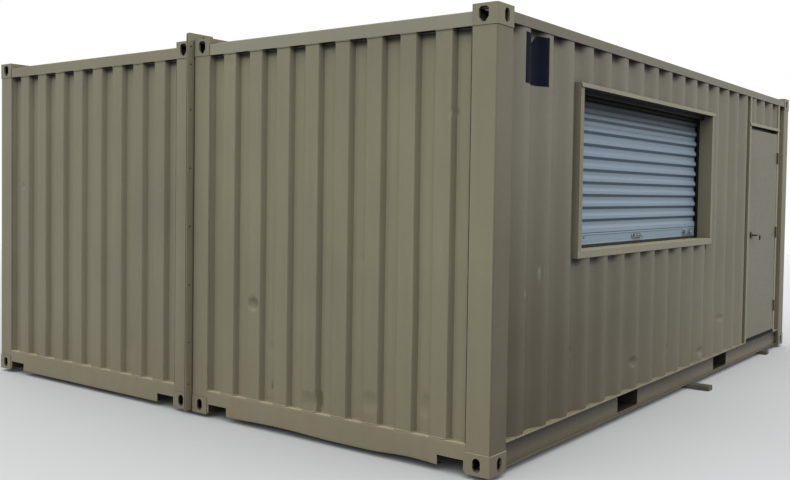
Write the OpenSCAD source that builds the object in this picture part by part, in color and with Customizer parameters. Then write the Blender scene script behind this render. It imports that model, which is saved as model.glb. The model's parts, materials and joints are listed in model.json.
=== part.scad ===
// Double-wide site building: two steel freight containers joined side by side,
// with a roller shutter and a personnel door in one long wall.
// Frame: +X along the units, +Y across them, +Z up, origin on the ground in the middle.
// The front unit is the one at -Y. The blind ends face -X and the cargo doors face +X.

/* [Units] */
// Length of each unit over its corner castings
unit_len = 6058; // [5900:1:6600]
// Width of each unit over its corner castings
unit_w = 2438; // [2300:1:2600]
// Height of each unit over its corner castings
unit_h = 2591; // [2500:1:2900]
// Gap between the two units
joint_gap = 18; // [16:1:30]
// Thickness of the wall and roof sheet
sheet_t = 2; // [1.5:0.1:3]

/* [Corner castings] */
// Length of a casting along the unit
cast_len = 178; // [172:1:190]
// Width of a casting across the unit
cast_w = 162; // [155:1:175]
// Height of a casting
cast_h = 118; // [112:1:130]
// Thickness of the side walls of a casting
cast_wall = 14; // [10:1:18]
// Thickness of the plate with the twist lock slot
cast_plate = 28; // [22:1:32]
// Length of the twist lock slot
slot_len = 124; // [110:1:128]
// Width of the twist lock slot
slot_w = 63.5; // [56:0.5:70]
// Distance of the slot centre from the end of the unit
slot_from_end = 101.5; // [95:0.5:106]
// Distance of the slot centre from the side of the unit
slot_from_side = 89; // [84:0.5:94]
// Width of the hand hole in a casting's side or end
hand_w = 51; // [44:1:56]
// Height of the hand hole
hand_h = 79; // [70:1:82]
// Width of the shield-shaped end hole of a top casting
shield_w = 64; // [58:1:72]
// Height of the shield-shaped end hole
shield_h = 84; // [76:1:88]
// Radius of the upright outer edge of castings and posts
arris_r = 16; // [8:1:20]

/* [Corner posts] */
// Wall of a post
post_t = 6; // [4:0.5:8]
// How far the posts stand back from the casting faces
post_inset = 4; // [2:0.5:6]

/* [Top rails and roof] */
// Side of the square top side rail
top_rail = 60; // [50:1:70]
// Wall of the top side rails and headers
top_rail_t = 3; // [2:0.5:5]
// How far the top side rails stand back from the casting faces
top_rail_inset = 3; // [1:0.5:6]
// Drop from the casting tops to the top of the side rails
top_rail_drop = 28; // [26:1:34]
// Height of an end header
header_h = 75; // [60:1:80]
// Depth of an end header along the unit
header_d = 60; // [50:1:80]
// Number of raised ribs across each roof
roof_ribs = 26; // [18:1:26]
// Distance from the castings to the middle of the first and last roof rib
roof_end = 239; // [200:1:280]
// Width of a roof rib on top
roof_rib_top = 91; // [80:1:100]
// Run of the slope of a roof rib
roof_rib_slope = 14; // [8:1:20]
// Height of a roof rib
roof_rib_h = 20; // [14:1:22]
// Flat margin of the roof along the side rails
roof_margin = 75; // [70:1:110]

/* [Bottom frame] */
// Underside of the bottom side rails above the casting bottoms
rail_z = 15; // [12:1:20]
// Top of the bottom rails and sills above the casting bottoms
rail_top = 165; // [158:1:175]
// Depth from the casting face to the web of the bottom side rail
rail_web = 44; // [40:1:50]
// Thickness of the bottom rails and sills
rail_t = 4.5; // [3.5:0.5:6]
// Distance of the top flange edge from the casting face
rail_lip = 2; // [1:0.5:6]
// Width of the bottom flange of the side rail
rail_foot = 30; // [24:1:36]
// Underside of the end sills above the casting bottoms
sill_z = 8; // [5:1:14]
// Width of the flanges of an end sill
sill_d = 50; // [40:1:54]
// Width of the notches in the end sills
notch_w = 178; // [150:1:190]
// Top of the notches above the casting bottoms
notch_top = 72; // [60:1:90]
// Distance of a notch from the casting beside it
notch_gap = 13; // [8:1:20]
// Thickness of the floor boards
floor_t = 28; // [22:1:30]
// Top of the floor above the casting bottoms
floor_top = 170; // [168:1:176]
// Height of a cross member
cross_h = 120; // [100:1:122]
// Width of the flanges of a cross member
cross_w = 45; // [40:1:50]
// Wall of the cross members and fork pocket plates
cross_t = 4; // [3:0.5:5]
// Number of cross member places along a unit
cross_count = 19; // [15:1:20]
// Distance between the two fork pockets
fork_span = 2080; // [2000:1:2120]
// Width of a fork pocket
fork_w = 360; // [350:1:380]
// Bottom of a fork pocket above the casting bottoms
fork_z = 24; // [24:1:28]
// Height of a fork pocket
fork_h = 114; // [105:1:114]
// Width of the strap plate under the mouth of a fork pocket
fork_strap = 220; // [150:1:260]

/* [Wall sheets] */
// How far the wall sheets stand back from the casting faces
wall_inset = 10; // [8:1:14]
// Number of grooves in a blind end wall
end_grooves = 9; // [8:1:10]
// Width of the outer flats of an end wall
end_flat = 111; // [95:1:120]
// Run of the slopes of an end wall
end_slope = 18; // [14:1:24]
// Depth of the end wall grooves
end_depth = 42; // [36:1:46]
// Number of outer ribs along a side wall
side_ribs = 20; // [18:1:20]
// Distance from a post to the middle of the first and last side wall rib
side_end = 172; // [150:1:250]
// Width of the outer flats of a side wall
side_flat = 72; // [60:1:84]
// Run of the slopes of a side wall
side_slope = 68; // [56:1:74]
// Depth of the side wall ribs
side_depth = 36; // [30:1:36]

/* [Roller shutter] */
// Distance of the shutter opening from the blind end
shutter_x = 1085; // [900:1:1300]
// Width of the wall between the shutter opening and the door opening
between_w = 1158; // [1050:1:1450]
// Drop from the top of the wall to the shutter opening
shutter_drop = 295; // [250:1:420]
// Height of the shutter opening
shutter_h = 1005; // [900:1:1010]
// Face width of the shutter frame
frame_face = 50; // [40:1:60]
// Depth of the shutter frame
frame_d = 150; // [140:1:170]
// Set-back of the heads of the shutter and door frames
head_in = 70; // [60:1:76]
// Height of the heads of the shutter and door frames
head_h = 30; // [24:1:40]
// Depth from the casting face to the back of the shutter head, in front of the curtain
head_d = 104; // [100:1:106]
// Wall of the shutter frame tube
frame_t = 4; // [3:0.5:6]
// Height of one wave of the curtain sheet
wave_pitch = 84.3; // [75:0.1:95]
// Height of the outer flat of a wave
wave_flat = 22; // [16:1:26]
// Run of the slopes of a wave
wave_slope = 19; // [14:1:22]
// Depth of a wave
wave_depth = 14; // [8:1:15]
// Height of the first outer flat, over the bottom bar
wave_first = 30; // [20:1:40]
// Thickness of the curtain sheet
curtain_t = 1.5; // [1:0.1:2]
// Depth from the casting face to the inner flats of the curtain
curtain_d = 130; // [126:1:134]
// Height of the bottom bar of the curtain
bar_h = 100; // [80:1:110]
// Thickness of the bottom bar of the curtain
bar_t = 16; // [12:1:18]
// Width of a guide into the opening
guide_w = 60; // [45:1:70]
// Wall of a guide
guide_t = 3; // [2:0.5:4]
// Clear width of the slot in a guide
guide_slot = 34; // [32:1:36]
// Height of the strip between the guides that closes the gap under the head
baffle_h = 24; // [15:1:40]
// Outer radius of the rolled curtain
coil_r = 95; // [85:1:100]

/* [Personnel door] */
// Distance of the door opening from the cargo door end
door_from_end = 396; // [380:1:420]
// Width of the door leaf
leaf_w = 914; // [760:1:920]
// Drop from the top of the wall to the door opening
door_drop = 296; // [260:1:420]
// Width of the vent slot in the wall over the door
vent_w = 40; // [30:1:50]
// Height of the vent slot
vent_h = 123; // [100:1:125]
// Distance of the vent slot from the lock side of the door opening
vent_x = 453; // [400:1:500]
// Distance of the vent slot from the drip cap of the door
vent_up = 25; // [20:1:45]
// Thickness of the door leaf
leaf_t = 44; // [38:1:50]
// Gap between the leaf and its frame
leaf_gap = 5; // [5:0.5:8]
// Distance of the leaf face from the casting face
leaf_d = 8; // [7:0.5:12]
// Bottom of the leaf above the casting bottoms
leaf_z = 198; // [185:1:205]
// Face width of the door frame
jamb_face = 50; // [40:1:55]
// Distance of the door frame face from the casting face
jamb_d = 6; // [4:0.5:7]
// Depth of the door frame
jamb_depth = 110; // [100:1:130]
// Width of the stop that the leaf closes on
stop_w = 16; // [12:1:20]
// Depth of the gap between the leaf and its stop
stop_gap = 5; // [2:0.5:8]
// Height of a door hinge
hinge_h = 114; // [90:1:120]
// Radius of a hinge knuckle
knuckle_r = 7; // [6:0.5:7.5]
// Radius of a hinge pin
pin_r = 3; // [2.5:0.1:3.5]
// Thickness of a hinge plate
hinge_t = 1.8; // [1.4:0.1:2]
// Distance of the outer hinges from the ends of the leaf
hinge_from_end = 245; // [180:1:300]
// Distance of the lever spindle from the free edge of the leaf
backset = 62; // [56:1:70]
// Height of the lever above the bottom of the leaf
lever_z = 996; // [900:1:1100]
// Length of the lever
lever_len = 118; // [100:1:130]
// Radius of the lever bar
lever_r = 8; // [6:0.5:10]
// Length of the turned down end of the lever
lever_drop = 34; // [24:1:45]
// Stand-off of the lever bar from the leaf
lever_off = 52; // [45:1:60]
// Radius of the spindle through the leaf
spindle_r = 8; // [6:0.5:9]
// Radius of a lever rose
rose_r = 30; // [24:1:34]
// Thickness of a lever rose
rose_t = 10; // [8:1:14]
// Reach of the drip caps over shutter and door
cap_reach = 10; // [6:1:20]
// Height of the steep face of a drip cap
cap_h = 28; // [20:1:40]

/* [Cargo doors] */
// Distance of the outer face of the cargo doors from the casting face
cargo_d = 62; // [58:1:70]
// Thickness of the cargo door frames
cargo_t = 50; // [44:1:56]
// Width of the cargo door stiles and rails
cargo_stile = 100; // [80:1:110]
// Gap between the cargo doors and around them
cargo_gap = 12; // [8:1:16]
// Number of grooves in a cargo door panel
cargo_grooves = 5; // [3:1:6]
// Radius of a lock rod
rod_r = 17; // [14:0.5:19]
// Distance of a lock rod from the edge of its door
rod_from_edge = 230; // [180:1:300]
// Height of the lock handles above the casting bottoms
handle_z = 1050; // [900:1:1300]
// Step between the two lock handles of a door
handle_step = 110; // [80:1:160]
// Length of a lock handle
handle_len = 420; // [380:1:440]
// Number of hinges on each cargo door
cargo_hinges = 4; // [3:1:5]
// Height of a cargo door hinge
cargo_hinge_h = 110; // [80:1:130]

/* [Joint between the units] */
// Thickness of a joint flange
flange_t = 6; // [5:0.5:6.5]
// Reach of the flanges beyond the ends
flange_out = 48; // [40:1:60]
// Reach of the flanges above the casting tops
flange_up = 46; // [38:1:60]
// Seat of the flanges on the end castings
flange_seat = 30; // [20:1:50]
// Diameter of the flange bolt holes
flange_hole = 14; // [10:1:18]
// Distance of the outer evenly spaced holes from the casting bottoms and tops
flange_first = 484; // [450:1:520]
// Number of evenly spaced holes
flange_holes = 5; // [3:1:5]
// Height of the roof seam cap above the casting tops
seam_up = 30; // [20:1:36]
// Width of the raised part of the roof seam cap
seam_w = 60; // [50:1:90]
// Width of a foot of the roof seam cap
seam_foot = 24; // [16:1:26]

/* [Timber bearers] */
// Thickness of a bearer
bearer_t = 40; // [36:1:60]
// Width of a bearer
bearer_w = 89; // [75:1:120]
// Length of a bearer
bearer_len = 4700; // [4500:1:4880]
// Place of the inner bearers along the units
bearer_in_x = 205; // [150:1:400]
// Reach of the inner bearers beyond the units
bearer_in_out = 150; // [100:1:200]
// Distance of the outer bearers from the ends of the units
bearer_from_end = 699; // [550:1:850]
// Reach of the outer bearers beyond the units
bearer_out_out = 31; // [10:1:60]

/* [Hidden] */
$fn = 48;

FRONT = -1;
REAR = 1;
BOTH = [-1, 1];
PAINT = "#7d796a";
PAINT_DARK = "#6b675a";
CURTAIN = "#98a2aa";
STEEL = "#8d8d8c";
DARK = "#33322f";
TIMBER = "#54564c";
PLY = "#8a6d4a";

// A cut reaches this far past the face that it opens
cut = 5;
// Running clearance of a pin in its knuckle and of sheets in their slots
run = 0.3;

base_z = bearer_t - rail_z;
unit_y = (unit_w + joint_gap) / 2;
post_len = cast_len - post_inset;
post_w = cast_w - post_inset;
post_h = unit_h - 2 * cast_h;

side_rail_top = unit_h - top_rail_drop;
wall_top = side_rail_top - top_rail;
header_bottom = unit_h - cast_h;
header_top = header_bottom + header_h;
rail_back = rail_web + rail_t;
floor_bottom = floor_top - floor_t;
wall_back = wall_inset + side_depth + sheet_t;
floor_side = max(rail_back, wall_back) + 0.5;
floor_end = max(post_inset + sill_d, wall_inset + end_depth + sheet_t) + 2;

end_span = unit_w - 2 * cast_w;
side_span = unit_len - 2 * cast_len;
side_pitch = (side_span - 2 * side_end) / (side_ribs - 1);
roof_pitch = (side_span - 2 * roof_end) / (roof_ribs - 1);

door_right = unit_len / 2 - door_from_end;
door_left = door_right - leaf_w - 2 * leaf_gap;
shutter_left = -unit_len / 2 + shutter_x;
shutter_right = door_left - between_w;
shutter_w = shutter_right - shutter_left;
shutter_top = wall_top - shutter_drop;
shutter_z = shutter_top - shutter_h;
frame_top = shutter_top + head_h + cap_h;
curtain_edge = 6;
curtain_z = shutter_z + bar_h;
curtain_waves = ceil((shutter_top + coil_r - curtain_z) / wave_pitch);
curtain_top = curtain_z + curtain_waves * wave_pitch;
coil_d = curtain_d + curtain_t + run + coil_r;

door_head_z = wall_top - door_drop;
door_top = door_head_z + head_h + cap_h;
leaf_h = door_head_z - leaf_gap - leaf_z;
leaf_right = door_right - leaf_gap;
leaf_left = door_left + leaf_gap;
leaf_back = leaf_d + leaf_t;
threshold_top = leaf_z - leaf_gap;
hinge_x = door_right - leaf_gap / 2;
hinge_d = jamb_d - knuckle_r - 0.5;
hinge_mids = [hinge_from_end, leaf_h / 2, leaf_h - hinge_from_end];
lever_x = leaf_left + backset;

cargo_z = floor_top + cargo_gap;
cargo_h = header_bottom - cargo_gap - cargo_z;
cargo_w = (unit_w - 2 * cast_w - 3 * cargo_gap) / 2;

// Placing

module in_unit(side) translate([0, side * unit_y, base_z]) children();

// Local frame of one long side of a unit: y runs inwards from the casting face
module on_side(side) translate([0, side * unit_w / 2, 0]) mirror([0, side > 0 ? 1 : 0, 0]) children();

// Local frame of one end of a unit: x runs inwards from the casting face
module on_end(end) translate([end * unit_len / 2, 0, 0]) mirror([end > 0 ? 1 : 0, 0, 0]) children();

// Local frame of the wall with the shutter and the door
module in_front_wall() in_unit(FRONT) on_side(FRONT) children();

// Extrude an outline of (x, z) along Y about the middle
module along_y(length) rotate([90, 0, 0]) translate([0, 0, -length / 2]) linear_extrude(length) children();

// Extrude an outline of (y, z) along X from a start
module along_x(start, length) translate([start, 0, 0]) rotate([90, 0, 90]) linear_extrude(length) children();

// Outlines

module span(x0, x1, y0, y1) translate([x0, y0]) square([x1 - x0, y1 - y0]);

module stadium(length, width) {
  square([length - width, width], center = true);
  for (s = BOTH) translate([s * (length - width) / 2, 0]) circle(d = width);
}

// A hole with parallel sides whose corners are cut off, further below than above
module shield(width, height) {
  half = width / 2;
  top = height / 2;
  polygon([[0.3 * width, top], [half, top - 0.16 * height], [half, 0.32 * height - top],
           [0.18 * width, -top], [-0.18 * width, -top], [-half, 0.32 * height - top],
           [-half, top - 0.16 * height], [-0.3 * width, top]]);
}

module one_round_corner(length, width, r) {
  difference() {
    square([length, width]);
    difference() {
      translate([-cut, -cut]) square(r + cut);
      translate([r, r]) circle(r);
    }
  }
}

module tube_outline(x0, x1, y0, y1, t) {
  difference() {
    span(x0, x1, y0, y1);
    span(x0 + t, x1 - t, y0 + t, y1 - t);
  }
}

// Shift of a sheet's inner bends against its outer bends
function bend_shift(t, slope, depth) = t * tan(atan2(depth, slope) / 2);

// A groove's four bends: from the outer flat at u0 in to the depth and back out
function groove(u0, width, slope, depth, t) =
  let (s = bend_shift(t, slope, depth))
  [[u0 - s, t], [u0 + slope - s, depth + t], [u0 + width - slope + s, depth + t], [u0 + width + s, t]];

function reversed(list) = [for (i = [len(list) - 1 : -1 : 0]) list[i]];

// Sheet with grooves of one width at one pitch, starting and ending in a groove at the edges
function grooved_path(count, pitch, flat, slope, depth, t, length) =
  let (bends = [for (i = [0 : count - 1], p = groove(i * pitch, pitch - flat, slope, depth, t)) p])
  concat([[0, t]], [for (i = [1 : len(bends) - 2]) bends[i]], [[length, t]]);

module grooved_sheet(count, flat, slope, depth, length) {
  pitch = (length + flat) / count;
  front = grooved_path(count, pitch, flat, slope, depth, 0, length);
  back = grooved_path(count, pitch, flat, slope, depth, sheet_t, length);
  polygon(concat(front, reversed(back)));
}

// Side wall sheet: outer ribs centred on the unit, inner flats running on to the posts
function side_path(t) =
  let (gap = side_pitch - side_flat, first = -(side_ribs - 1) / 2 * side_pitch - side_flat / 2)
  concat(
    [[-side_span / 2, side_depth + t]],
    [for (i = [0 : side_ribs], p = groove(first - gap + i * side_pitch, gap, side_slope, side_depth, t))
      if (p[0] > first - side_slope - side_flat / 2 && p[0] < -first + side_slope + side_flat / 2) p],
    [[side_span / 2, side_depth + t]]);

module side_sheet(x0, x1) {
  intersection() {
    translate([0, wall_inset]) polygon(concat(side_path(0), reversed(side_path(sheet_t))));
    span(x0, x1, -cut, wall_back + cut);
  }
}

module wall_piece(x0, x1, z0, z1) {
  translate([0, 0, z0]) linear_extrude(z1 - z0) side_sheet(x0, x1);
}

// Corner castings

module casting_body(top) {
  difference() {
    linear_extrude(cast_h) one_round_corner(cast_len, cast_w, arris_r);
    translate([cast_wall, cast_wall, cast_wall])
      cube([cast_len - 2 * cast_wall, cast_w - 2 * cast_wall, cast_h - cast_wall - cast_plate]);
    translate([slot_from_end, slot_from_side, cast_h - cast_plate - 1])
      linear_extrude(cast_plate + cut) stadium(slot_len, slot_w);
    translate([-cut, slot_from_side, cast_h / 2])
      rotate([90, 0, 90]) linear_extrude(cast_wall + 2 * cut) {
        if (top) shield(shield_w, shield_h);
        else rotate(90) stadium(hand_h, hand_w);
      }
    translate([slot_from_end, cast_wall + cut, cast_h / 2])
      rotate([90, 0, 0]) linear_extrude(cast_wall + 2 * cut) rotate(90) stadium(hand_h, hand_w);
  }
}

module castings(side) {
  color(PAINT) in_unit(side) for (end = BOTH, edge = BOTH) on_end(end) on_side(edge) {
    translate([0, 0, unit_h - cast_h]) casting_body(true);
    translate([0, 0, cast_h]) mirror([0, 0, 1]) casting_body(false);
  }
}

// Posts and rails

module posts(side) {
  color(PAINT) in_unit(side) for (end = BOTH, edge = BOTH) on_end(end) on_side(edge)
    translate([post_inset, post_inset, cast_h]) linear_extrude(post_h) difference() {
      one_round_corner(post_len, post_w, arris_r);
      translate([post_t, post_t])
        one_round_corner(post_len - 2 * post_t, post_w - 2 * post_t, arris_r - post_t);
    }
}

// A header tube, an upstand on its back and the plate that runs on to the roof sheet
module header_outline() {
  back = post_inset + header_d;
  tube_outline(post_inset, back, header_bottom, header_top, top_rail_t);
  span(back - top_rail_t, back, header_top - top_rail_t, side_rail_top + sheet_t);
  span(back - top_rail_t, cast_len, side_rail_top, side_rail_top + sheet_t);
}

module top_rails(side) {
  color(PAINT) in_unit(side) {
    for (end = BOTH) on_end(end) along_y(unit_w - 2 * cast_w) header_outline();
    for (edge = BOTH) on_side(edge) along_x(-unit_len / 2 + cast_len, unit_len - 2 * cast_len)
      tube_outline(top_rail_inset, top_rail_inset + top_rail, wall_top, side_rail_top, top_rail_t);
  }
}

module bottom_rail_outline() {
  span(rail_lip, rail_back, rail_top - rail_t, rail_top);
  span(rail_web, rail_back, rail_z, rail_top);
  span(rail_back - rail_foot, rail_back, rail_z, rail_z + rail_t);
}

module bottom_rails(side) {
  color(PAINT_DARK) in_unit(side) for (edge = BOTH) on_side(edge) difference() {
    along_x(-unit_len / 2 + cast_len, unit_len - 2 * cast_len) bottom_rail_outline();
    for (s = BOTH) translate([s * fork_span / 2 - fork_w / 2, rail_web - cut, fork_z])
      cube([fork_w, rail_t + 2 * cut, fork_h]);
  }
}

module sill_outline() {
  span(post_inset, post_inset + rail_t, sill_z, rail_top);
  span(post_inset, post_inset + sill_d, rail_top - rail_t, rail_top);
  span(post_inset, post_inset + sill_d, sill_z, sill_z + rail_t);
}

module end_sills(side) {
  color(PAINT) in_unit(side) for (end = BOTH) on_end(end) difference() {
    along_y(unit_w - 2 * cast_w) sill_outline();
    for (edge = BOTH) on_side(edge) translate([0, cast_w + notch_gap, 0])
      cube([post_inset + sill_d + cut, notch_w, notch_top]);
  }
}

// Floor and underframe

module cross_member() {
  along_y(unit_w - 2 * rail_back) {
    span(-cross_w / 2, -cross_w / 2 + cross_t, floor_bottom - cross_h, floor_bottom);
    span(-cross_w / 2, cross_w / 2, floor_bottom - cross_t, floor_bottom);
    span(-cross_w / 2, cross_w / 2, floor_bottom - cross_h, floor_bottom - cross_h + cross_t);
  }
}

module fork_tunnel() {
  length = unit_w - 2 * rail_back;
  along_y(length) {
    for (s = BOTH) translate([s * (fork_w + cross_t) / 2, 0])
      span(-cross_t / 2, cross_t / 2, fork_z - cross_t, floor_bottom);
    span(-fork_w / 2 - cross_t, fork_w / 2 + cross_t, fork_z + fork_h, floor_bottom);
  }
  for (s = BOTH) translate([0, s * (length - fork_strap) / 2, 0]) along_y(fork_strap)
    span(-fork_w / 2 - cross_t, fork_w / 2 + cross_t, fork_z - cross_t, fork_z);
}

function beside_fork(x) = abs(abs(x) - fork_span / 2) < (fork_w + cross_w) / 2 + 3 * cross_t;

module underframe(side) {
  reach = unit_len / 2 - cast_len - cross_w;
  color(PAINT_DARK) in_unit(side) {
    for (i = [0 : cross_count - 1]) {
      x = -reach + 2 * reach * i / (cross_count - 1);
      if (!beside_fork(x)) translate([x, 0, 0]) cross_member();
    }
    for (s = BOTH) translate([s * fork_span / 2, 0, 0]) fork_tunnel();
  }
}

module floor_boards(side) {
  half_x = unit_len / 2 - floor_end;
  half_y = unit_w / 2 - floor_side;
  color(PLY) in_unit(side) translate([0, 0, floor_bottom]) difference() {
    translate([-half_x, -half_y, 0]) cube([2 * half_x, 2 * half_y, floor_t]);
    for (end = BOTH, edge = BOTH) on_end(end) on_side(edge) translate([0, 0, -cut])
      cube([cast_len + 1, cast_w + 1, floor_t + 2 * cut]);
  }
}

// Roof

module roof_rib_outline(grow) {
  half = roof_rib_top / 2 + grow * tan(atan2(roof_rib_h, roof_rib_slope) / 2);
  for (i = [0 : roof_ribs - 1]) translate([(i - (roof_ribs - 1) / 2) * roof_pitch, 0])
    polygon([[-half - roof_rib_slope, grow], [half + roof_rib_slope, grow],
             [half, roof_rib_h + grow], [-half, roof_rib_h + grow]]);
}

module roof(side) {
  half_x = unit_len / 2 - cast_len;
  half_y = unit_w / 2 - top_rail_inset - sheet_t;
  rib_len = 2 * (half_y - roof_margin);
  color(PAINT) in_unit(side) translate([0, 0, side_rail_top]) difference() {
    union() {
      translate([-half_x, -half_y, 0]) cube([2 * half_x, 2 * half_y, sheet_t]);
      along_y(rib_len) roof_rib_outline(sheet_t);
    }
    along_y(rib_len - 2 * sheet_t) roof_rib_outline(0);
  }
}

// Wall sheets

module end_wall(side) {
  color(PAINT) in_unit(side) on_end(-1) translate([wall_inset, end_span / 2, rail_top])
    linear_extrude(header_bottom - rail_top) rotate(-90)
      grooved_sheet(end_grooves, end_flat, end_slope, end_depth, end_span);
}

module rear_side_wall() {
  color(PAINT) in_unit(REAR) on_side(REAR) wall_piece(-side_span / 2, side_span / 2, rail_top, wall_top);
}

module front_wall_left() {
  color(PAINT) in_front_wall()
    wall_piece(-side_span / 2, shutter_left - frame_face, rail_top, wall_top);
}

module front_wall_under_shutter() {
  color(PAINT) in_front_wall() wall_piece(
    shutter_left - frame_face, shutter_right + frame_face, rail_top, shutter_z - frame_face);
}

module front_wall_over_shutter() {
  color(PAINT) in_front_wall() wall_piece(
    shutter_left - frame_face, shutter_right + frame_face, frame_top, wall_top);
}

module front_wall_middle() {
  color(PAINT) in_front_wall()
    wall_piece(shutter_right + frame_face, door_left - jamb_face, rail_top, wall_top);
}

module front_wall_over_door() {
  color(PAINT) in_front_wall() difference() {
    wall_piece(door_left, door_right, door_top, wall_top);
    translate([door_left + vent_x, -cut, door_top + vent_up]) cube([vent_w, wall_back + 2 * cut, vent_h]);
  }
}

module front_wall_right() {
  color(PAINT) in_front_wall() wall_piece(door_right + jamb_face, side_span / 2, rail_top, wall_top);
}

// Roller shutter

module shutter_jambs() {
  color(PAINT) in_front_wall() translate([0, 0, shutter_z]) linear_extrude(frame_top - shutter_z) {
    tube_outline(shutter_left - frame_face, shutter_left, 0, frame_d, frame_t);
    tube_outline(shutter_right, shutter_right + frame_face, 0, frame_d, frame_t);
  }
}

// A tube with closed ends along the wall
module wall_tube(x0, x1, y0, y1, z0, z1, t) {
  color(PAINT) in_front_wall() difference() {
    along_x(x0, x1 - x0) span(y0, y1, z0, z1);
    along_x(x0 + t, x1 - x0 - 2 * t) span(y0 + t, y1 - t, z0 + t, z1 - t);
  }
}

module shutter_head() {
  wall_tube(shutter_left, shutter_right, head_in, head_d, shutter_top, shutter_top + head_h, frame_t);
}

module shutter_sill() {
  wall_tube(shutter_left - frame_face, shutter_right + frame_face, 0, frame_d,
            shutter_z - frame_face, shutter_z, frame_t);
}

// The guides, with the strip between them, stop where they would meet the rolled curtain
module shutter_guides() {
  slot_front = curtain_d - guide_slot / 2;
  guide_back = slot_front + guide_slot + guide_t;
  under_coil = sqrt(max(0, coil_r * coil_r - pow(coil_d - guide_back, 2)));
  guide_top = min(shutter_top, curtain_top - under_coil - leaf_gap);
  color(DARK) in_front_wall() {
    translate([0, 0, shutter_z]) linear_extrude(guide_top - shutter_z)
      for (s = BOTH) translate([s > 0 ? shutter_right : shutter_left, 0]) mirror([s > 0 ? 1 : 0, 0]) {
        span(0, guide_t, slot_front - guide_t, slot_front + guide_slot + guide_t);
        for (d = [slot_front - guide_t, slot_front + guide_slot]) span(0, guide_w, d, d + guide_t);
      }
    along_x(shutter_left + guide_w, shutter_w - 2 * guide_w)
      span(slot_front - guide_t, slot_front, guide_top - baffle_h, guide_top);
  }
}

// One face of the hanging curtain as (depth, height), from the bottom bar up to the roll
function curtain_face(t) =
  let (gap = wave_pitch - wave_flat,
       bends = [for (i = [0 : curtain_waves - 2],
                     p = groove(curtain_z + wave_first + i * wave_pitch, gap, wave_slope, wave_depth, t)) p])
  [for (p = concat([[curtain_z, t]], bends, [[curtain_top, t]])) [p[1] - wave_depth, p[0]]];

module shutter_curtain() {
  inner = guide_t + curtain_edge;
  color(CURTAIN) in_front_wall() translate([0, curtain_d, 0])
    along_x(shutter_left + inner, shutter_w - 2 * inner)
      polygon(concat(curtain_face(0), reversed(curtain_face(curtain_t))));
}

module shutter_bottom_bar() {
  inner = guide_t + curtain_edge;
  foot = 6;
  color(STEEL) in_front_wall() translate([0, curtain_d - wave_depth / 2, 0])
    along_x(shutter_left + inner, shutter_w - 2 * inner) {
      span(-bar_t / 2, bar_t / 2, shutter_z, shutter_z + foot);
      span(-bar_t / 2, -bar_t / 2 + foot / 2, shutter_z, curtain_z);
      span(-bar_t / 2, bar_t / 2, curtain_z - foot, curtain_z);
    }
}

// The rolled curtain on its shaft, between two plates that stand on the jambs
module shutter_coil() {
  inner = guide_t + curtain_edge;
  plate_t = 5;
  wrap = 6 * curtain_t;
  shaft_r = coil_r / 2;
  color(STEEL) in_front_wall() {
    translate([0, coil_d, curtain_top]) {
      difference() {
        along_x(shutter_left + inner, shutter_w - 2 * inner) circle(coil_r);
        along_x(shutter_left + inner + wrap, shutter_w - 2 * (inner + wrap)) circle(coil_r - wrap);
      }
      for (x = [shutter_left, shutter_right - inner]) along_x(x, inner) circle(shaft_r);
    }
    for (x = [shutter_left - plate_t, shutter_right]) along_x(x, plate_t)
      span(head_d + plate_t, coil_d + shaft_r, frame_top, curtain_top + shaft_r);
  }
}

// A steep face over the jambs, with a leg under it that runs back to the head
module drip_cap(x0, x1, face_w, face_d, head_front, top_z) {
  bottom = top_z - cap_h - sheet_t;
  color(PAINT) in_front_wall() {
    along_x(x0 - face_w, x1 - x0 + 2 * face_w) translate([face_d, 0])
      polygon([[0, top_z], [-sheet_t, top_z], [-cap_reach, bottom], [sheet_t - cap_reach, bottom]]);
    along_x(x0, x1 - x0) span(face_d - cap_reach + sheet_t / 2, head_front, bottom, bottom + sheet_t);
  }
}

module drip_caps() {
  drip_cap(shutter_left, shutter_right, frame_face, 0, head_in, frame_top);
  drip_cap(door_left, door_right, jamb_face, jamb_d, jamb_d + head_in, door_top);
}

// Personnel door

module door_jamb() {
  stop = leaf_back + stop_gap;
  linear_extrude(wall_top - rail_top)
    tube_outline(-jamb_face, 0, jamb_d, jamb_d + jamb_depth, sheet_t);
  linear_extrude(door_head_z - rail_top) span(-sheet_t, stop_w, stop, jamb_d + jamb_depth);
}

module door_jambs() {
  color(PAINT) in_front_wall() difference() {
    translate([0, 0, rail_top]) {
      translate([door_left, 0, 0]) door_jamb();
      translate([door_right, 0, 0]) mirror([1, 0, 0]) door_jamb();
    }
    translate([door_left - jamb_face - cut, floor_side, rail_top - cut])
      cube([door_right - door_left + 2 * (jamb_face + cut), jamb_depth + cut, floor_top - rail_top + cut]);
  }
}

module door_head() {
  wall_tube(door_left, door_right, jamb_d + head_in, jamb_d + jamb_depth,
            door_head_z, door_head_z + head_h, sheet_t);
}

module door_threshold() {
  color(DARK) in_front_wall() along_x(door_left, door_right - door_left)
    span(rail_lip, floor_side - 0.5, rail_top, threshold_top);
}

// The hollow of the leaf, around the block that holds the lock
module leaf_hollow() {
  skin = sheet_t;
  block = 2 * backset;
  translate([leaf_left, leaf_back - skin, leaf_z]) rotate([90, 0, 0]) linear_extrude(leaf_t - 2 * skin)
    difference() {
      span(skin, leaf_w - skin, skin, leaf_h - skin);
      span(-cut, block, lever_z - block / 2, lever_z + block / 2);
    }
}

module door_leaf() {
  color(PAINT) in_front_wall() difference() {
    translate([leaf_left, leaf_d, leaf_z]) cube([leaf_w, leaf_t, leaf_h]);
    leaf_hollow();
    translate([lever_x, leaf_back + cut, leaf_z + lever_z])
      rotate([90, 0, 0]) cylinder(r = spindle_r + 1.5, h = leaf_t + 2 * cut);
  }
}

knuckles = 5;
knuckle_gap = 0.5;
knuckle_h = hinge_h / knuckles - knuckle_gap;
hinge_plate_d = leaf_d + leaf_t * 0.7;

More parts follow.
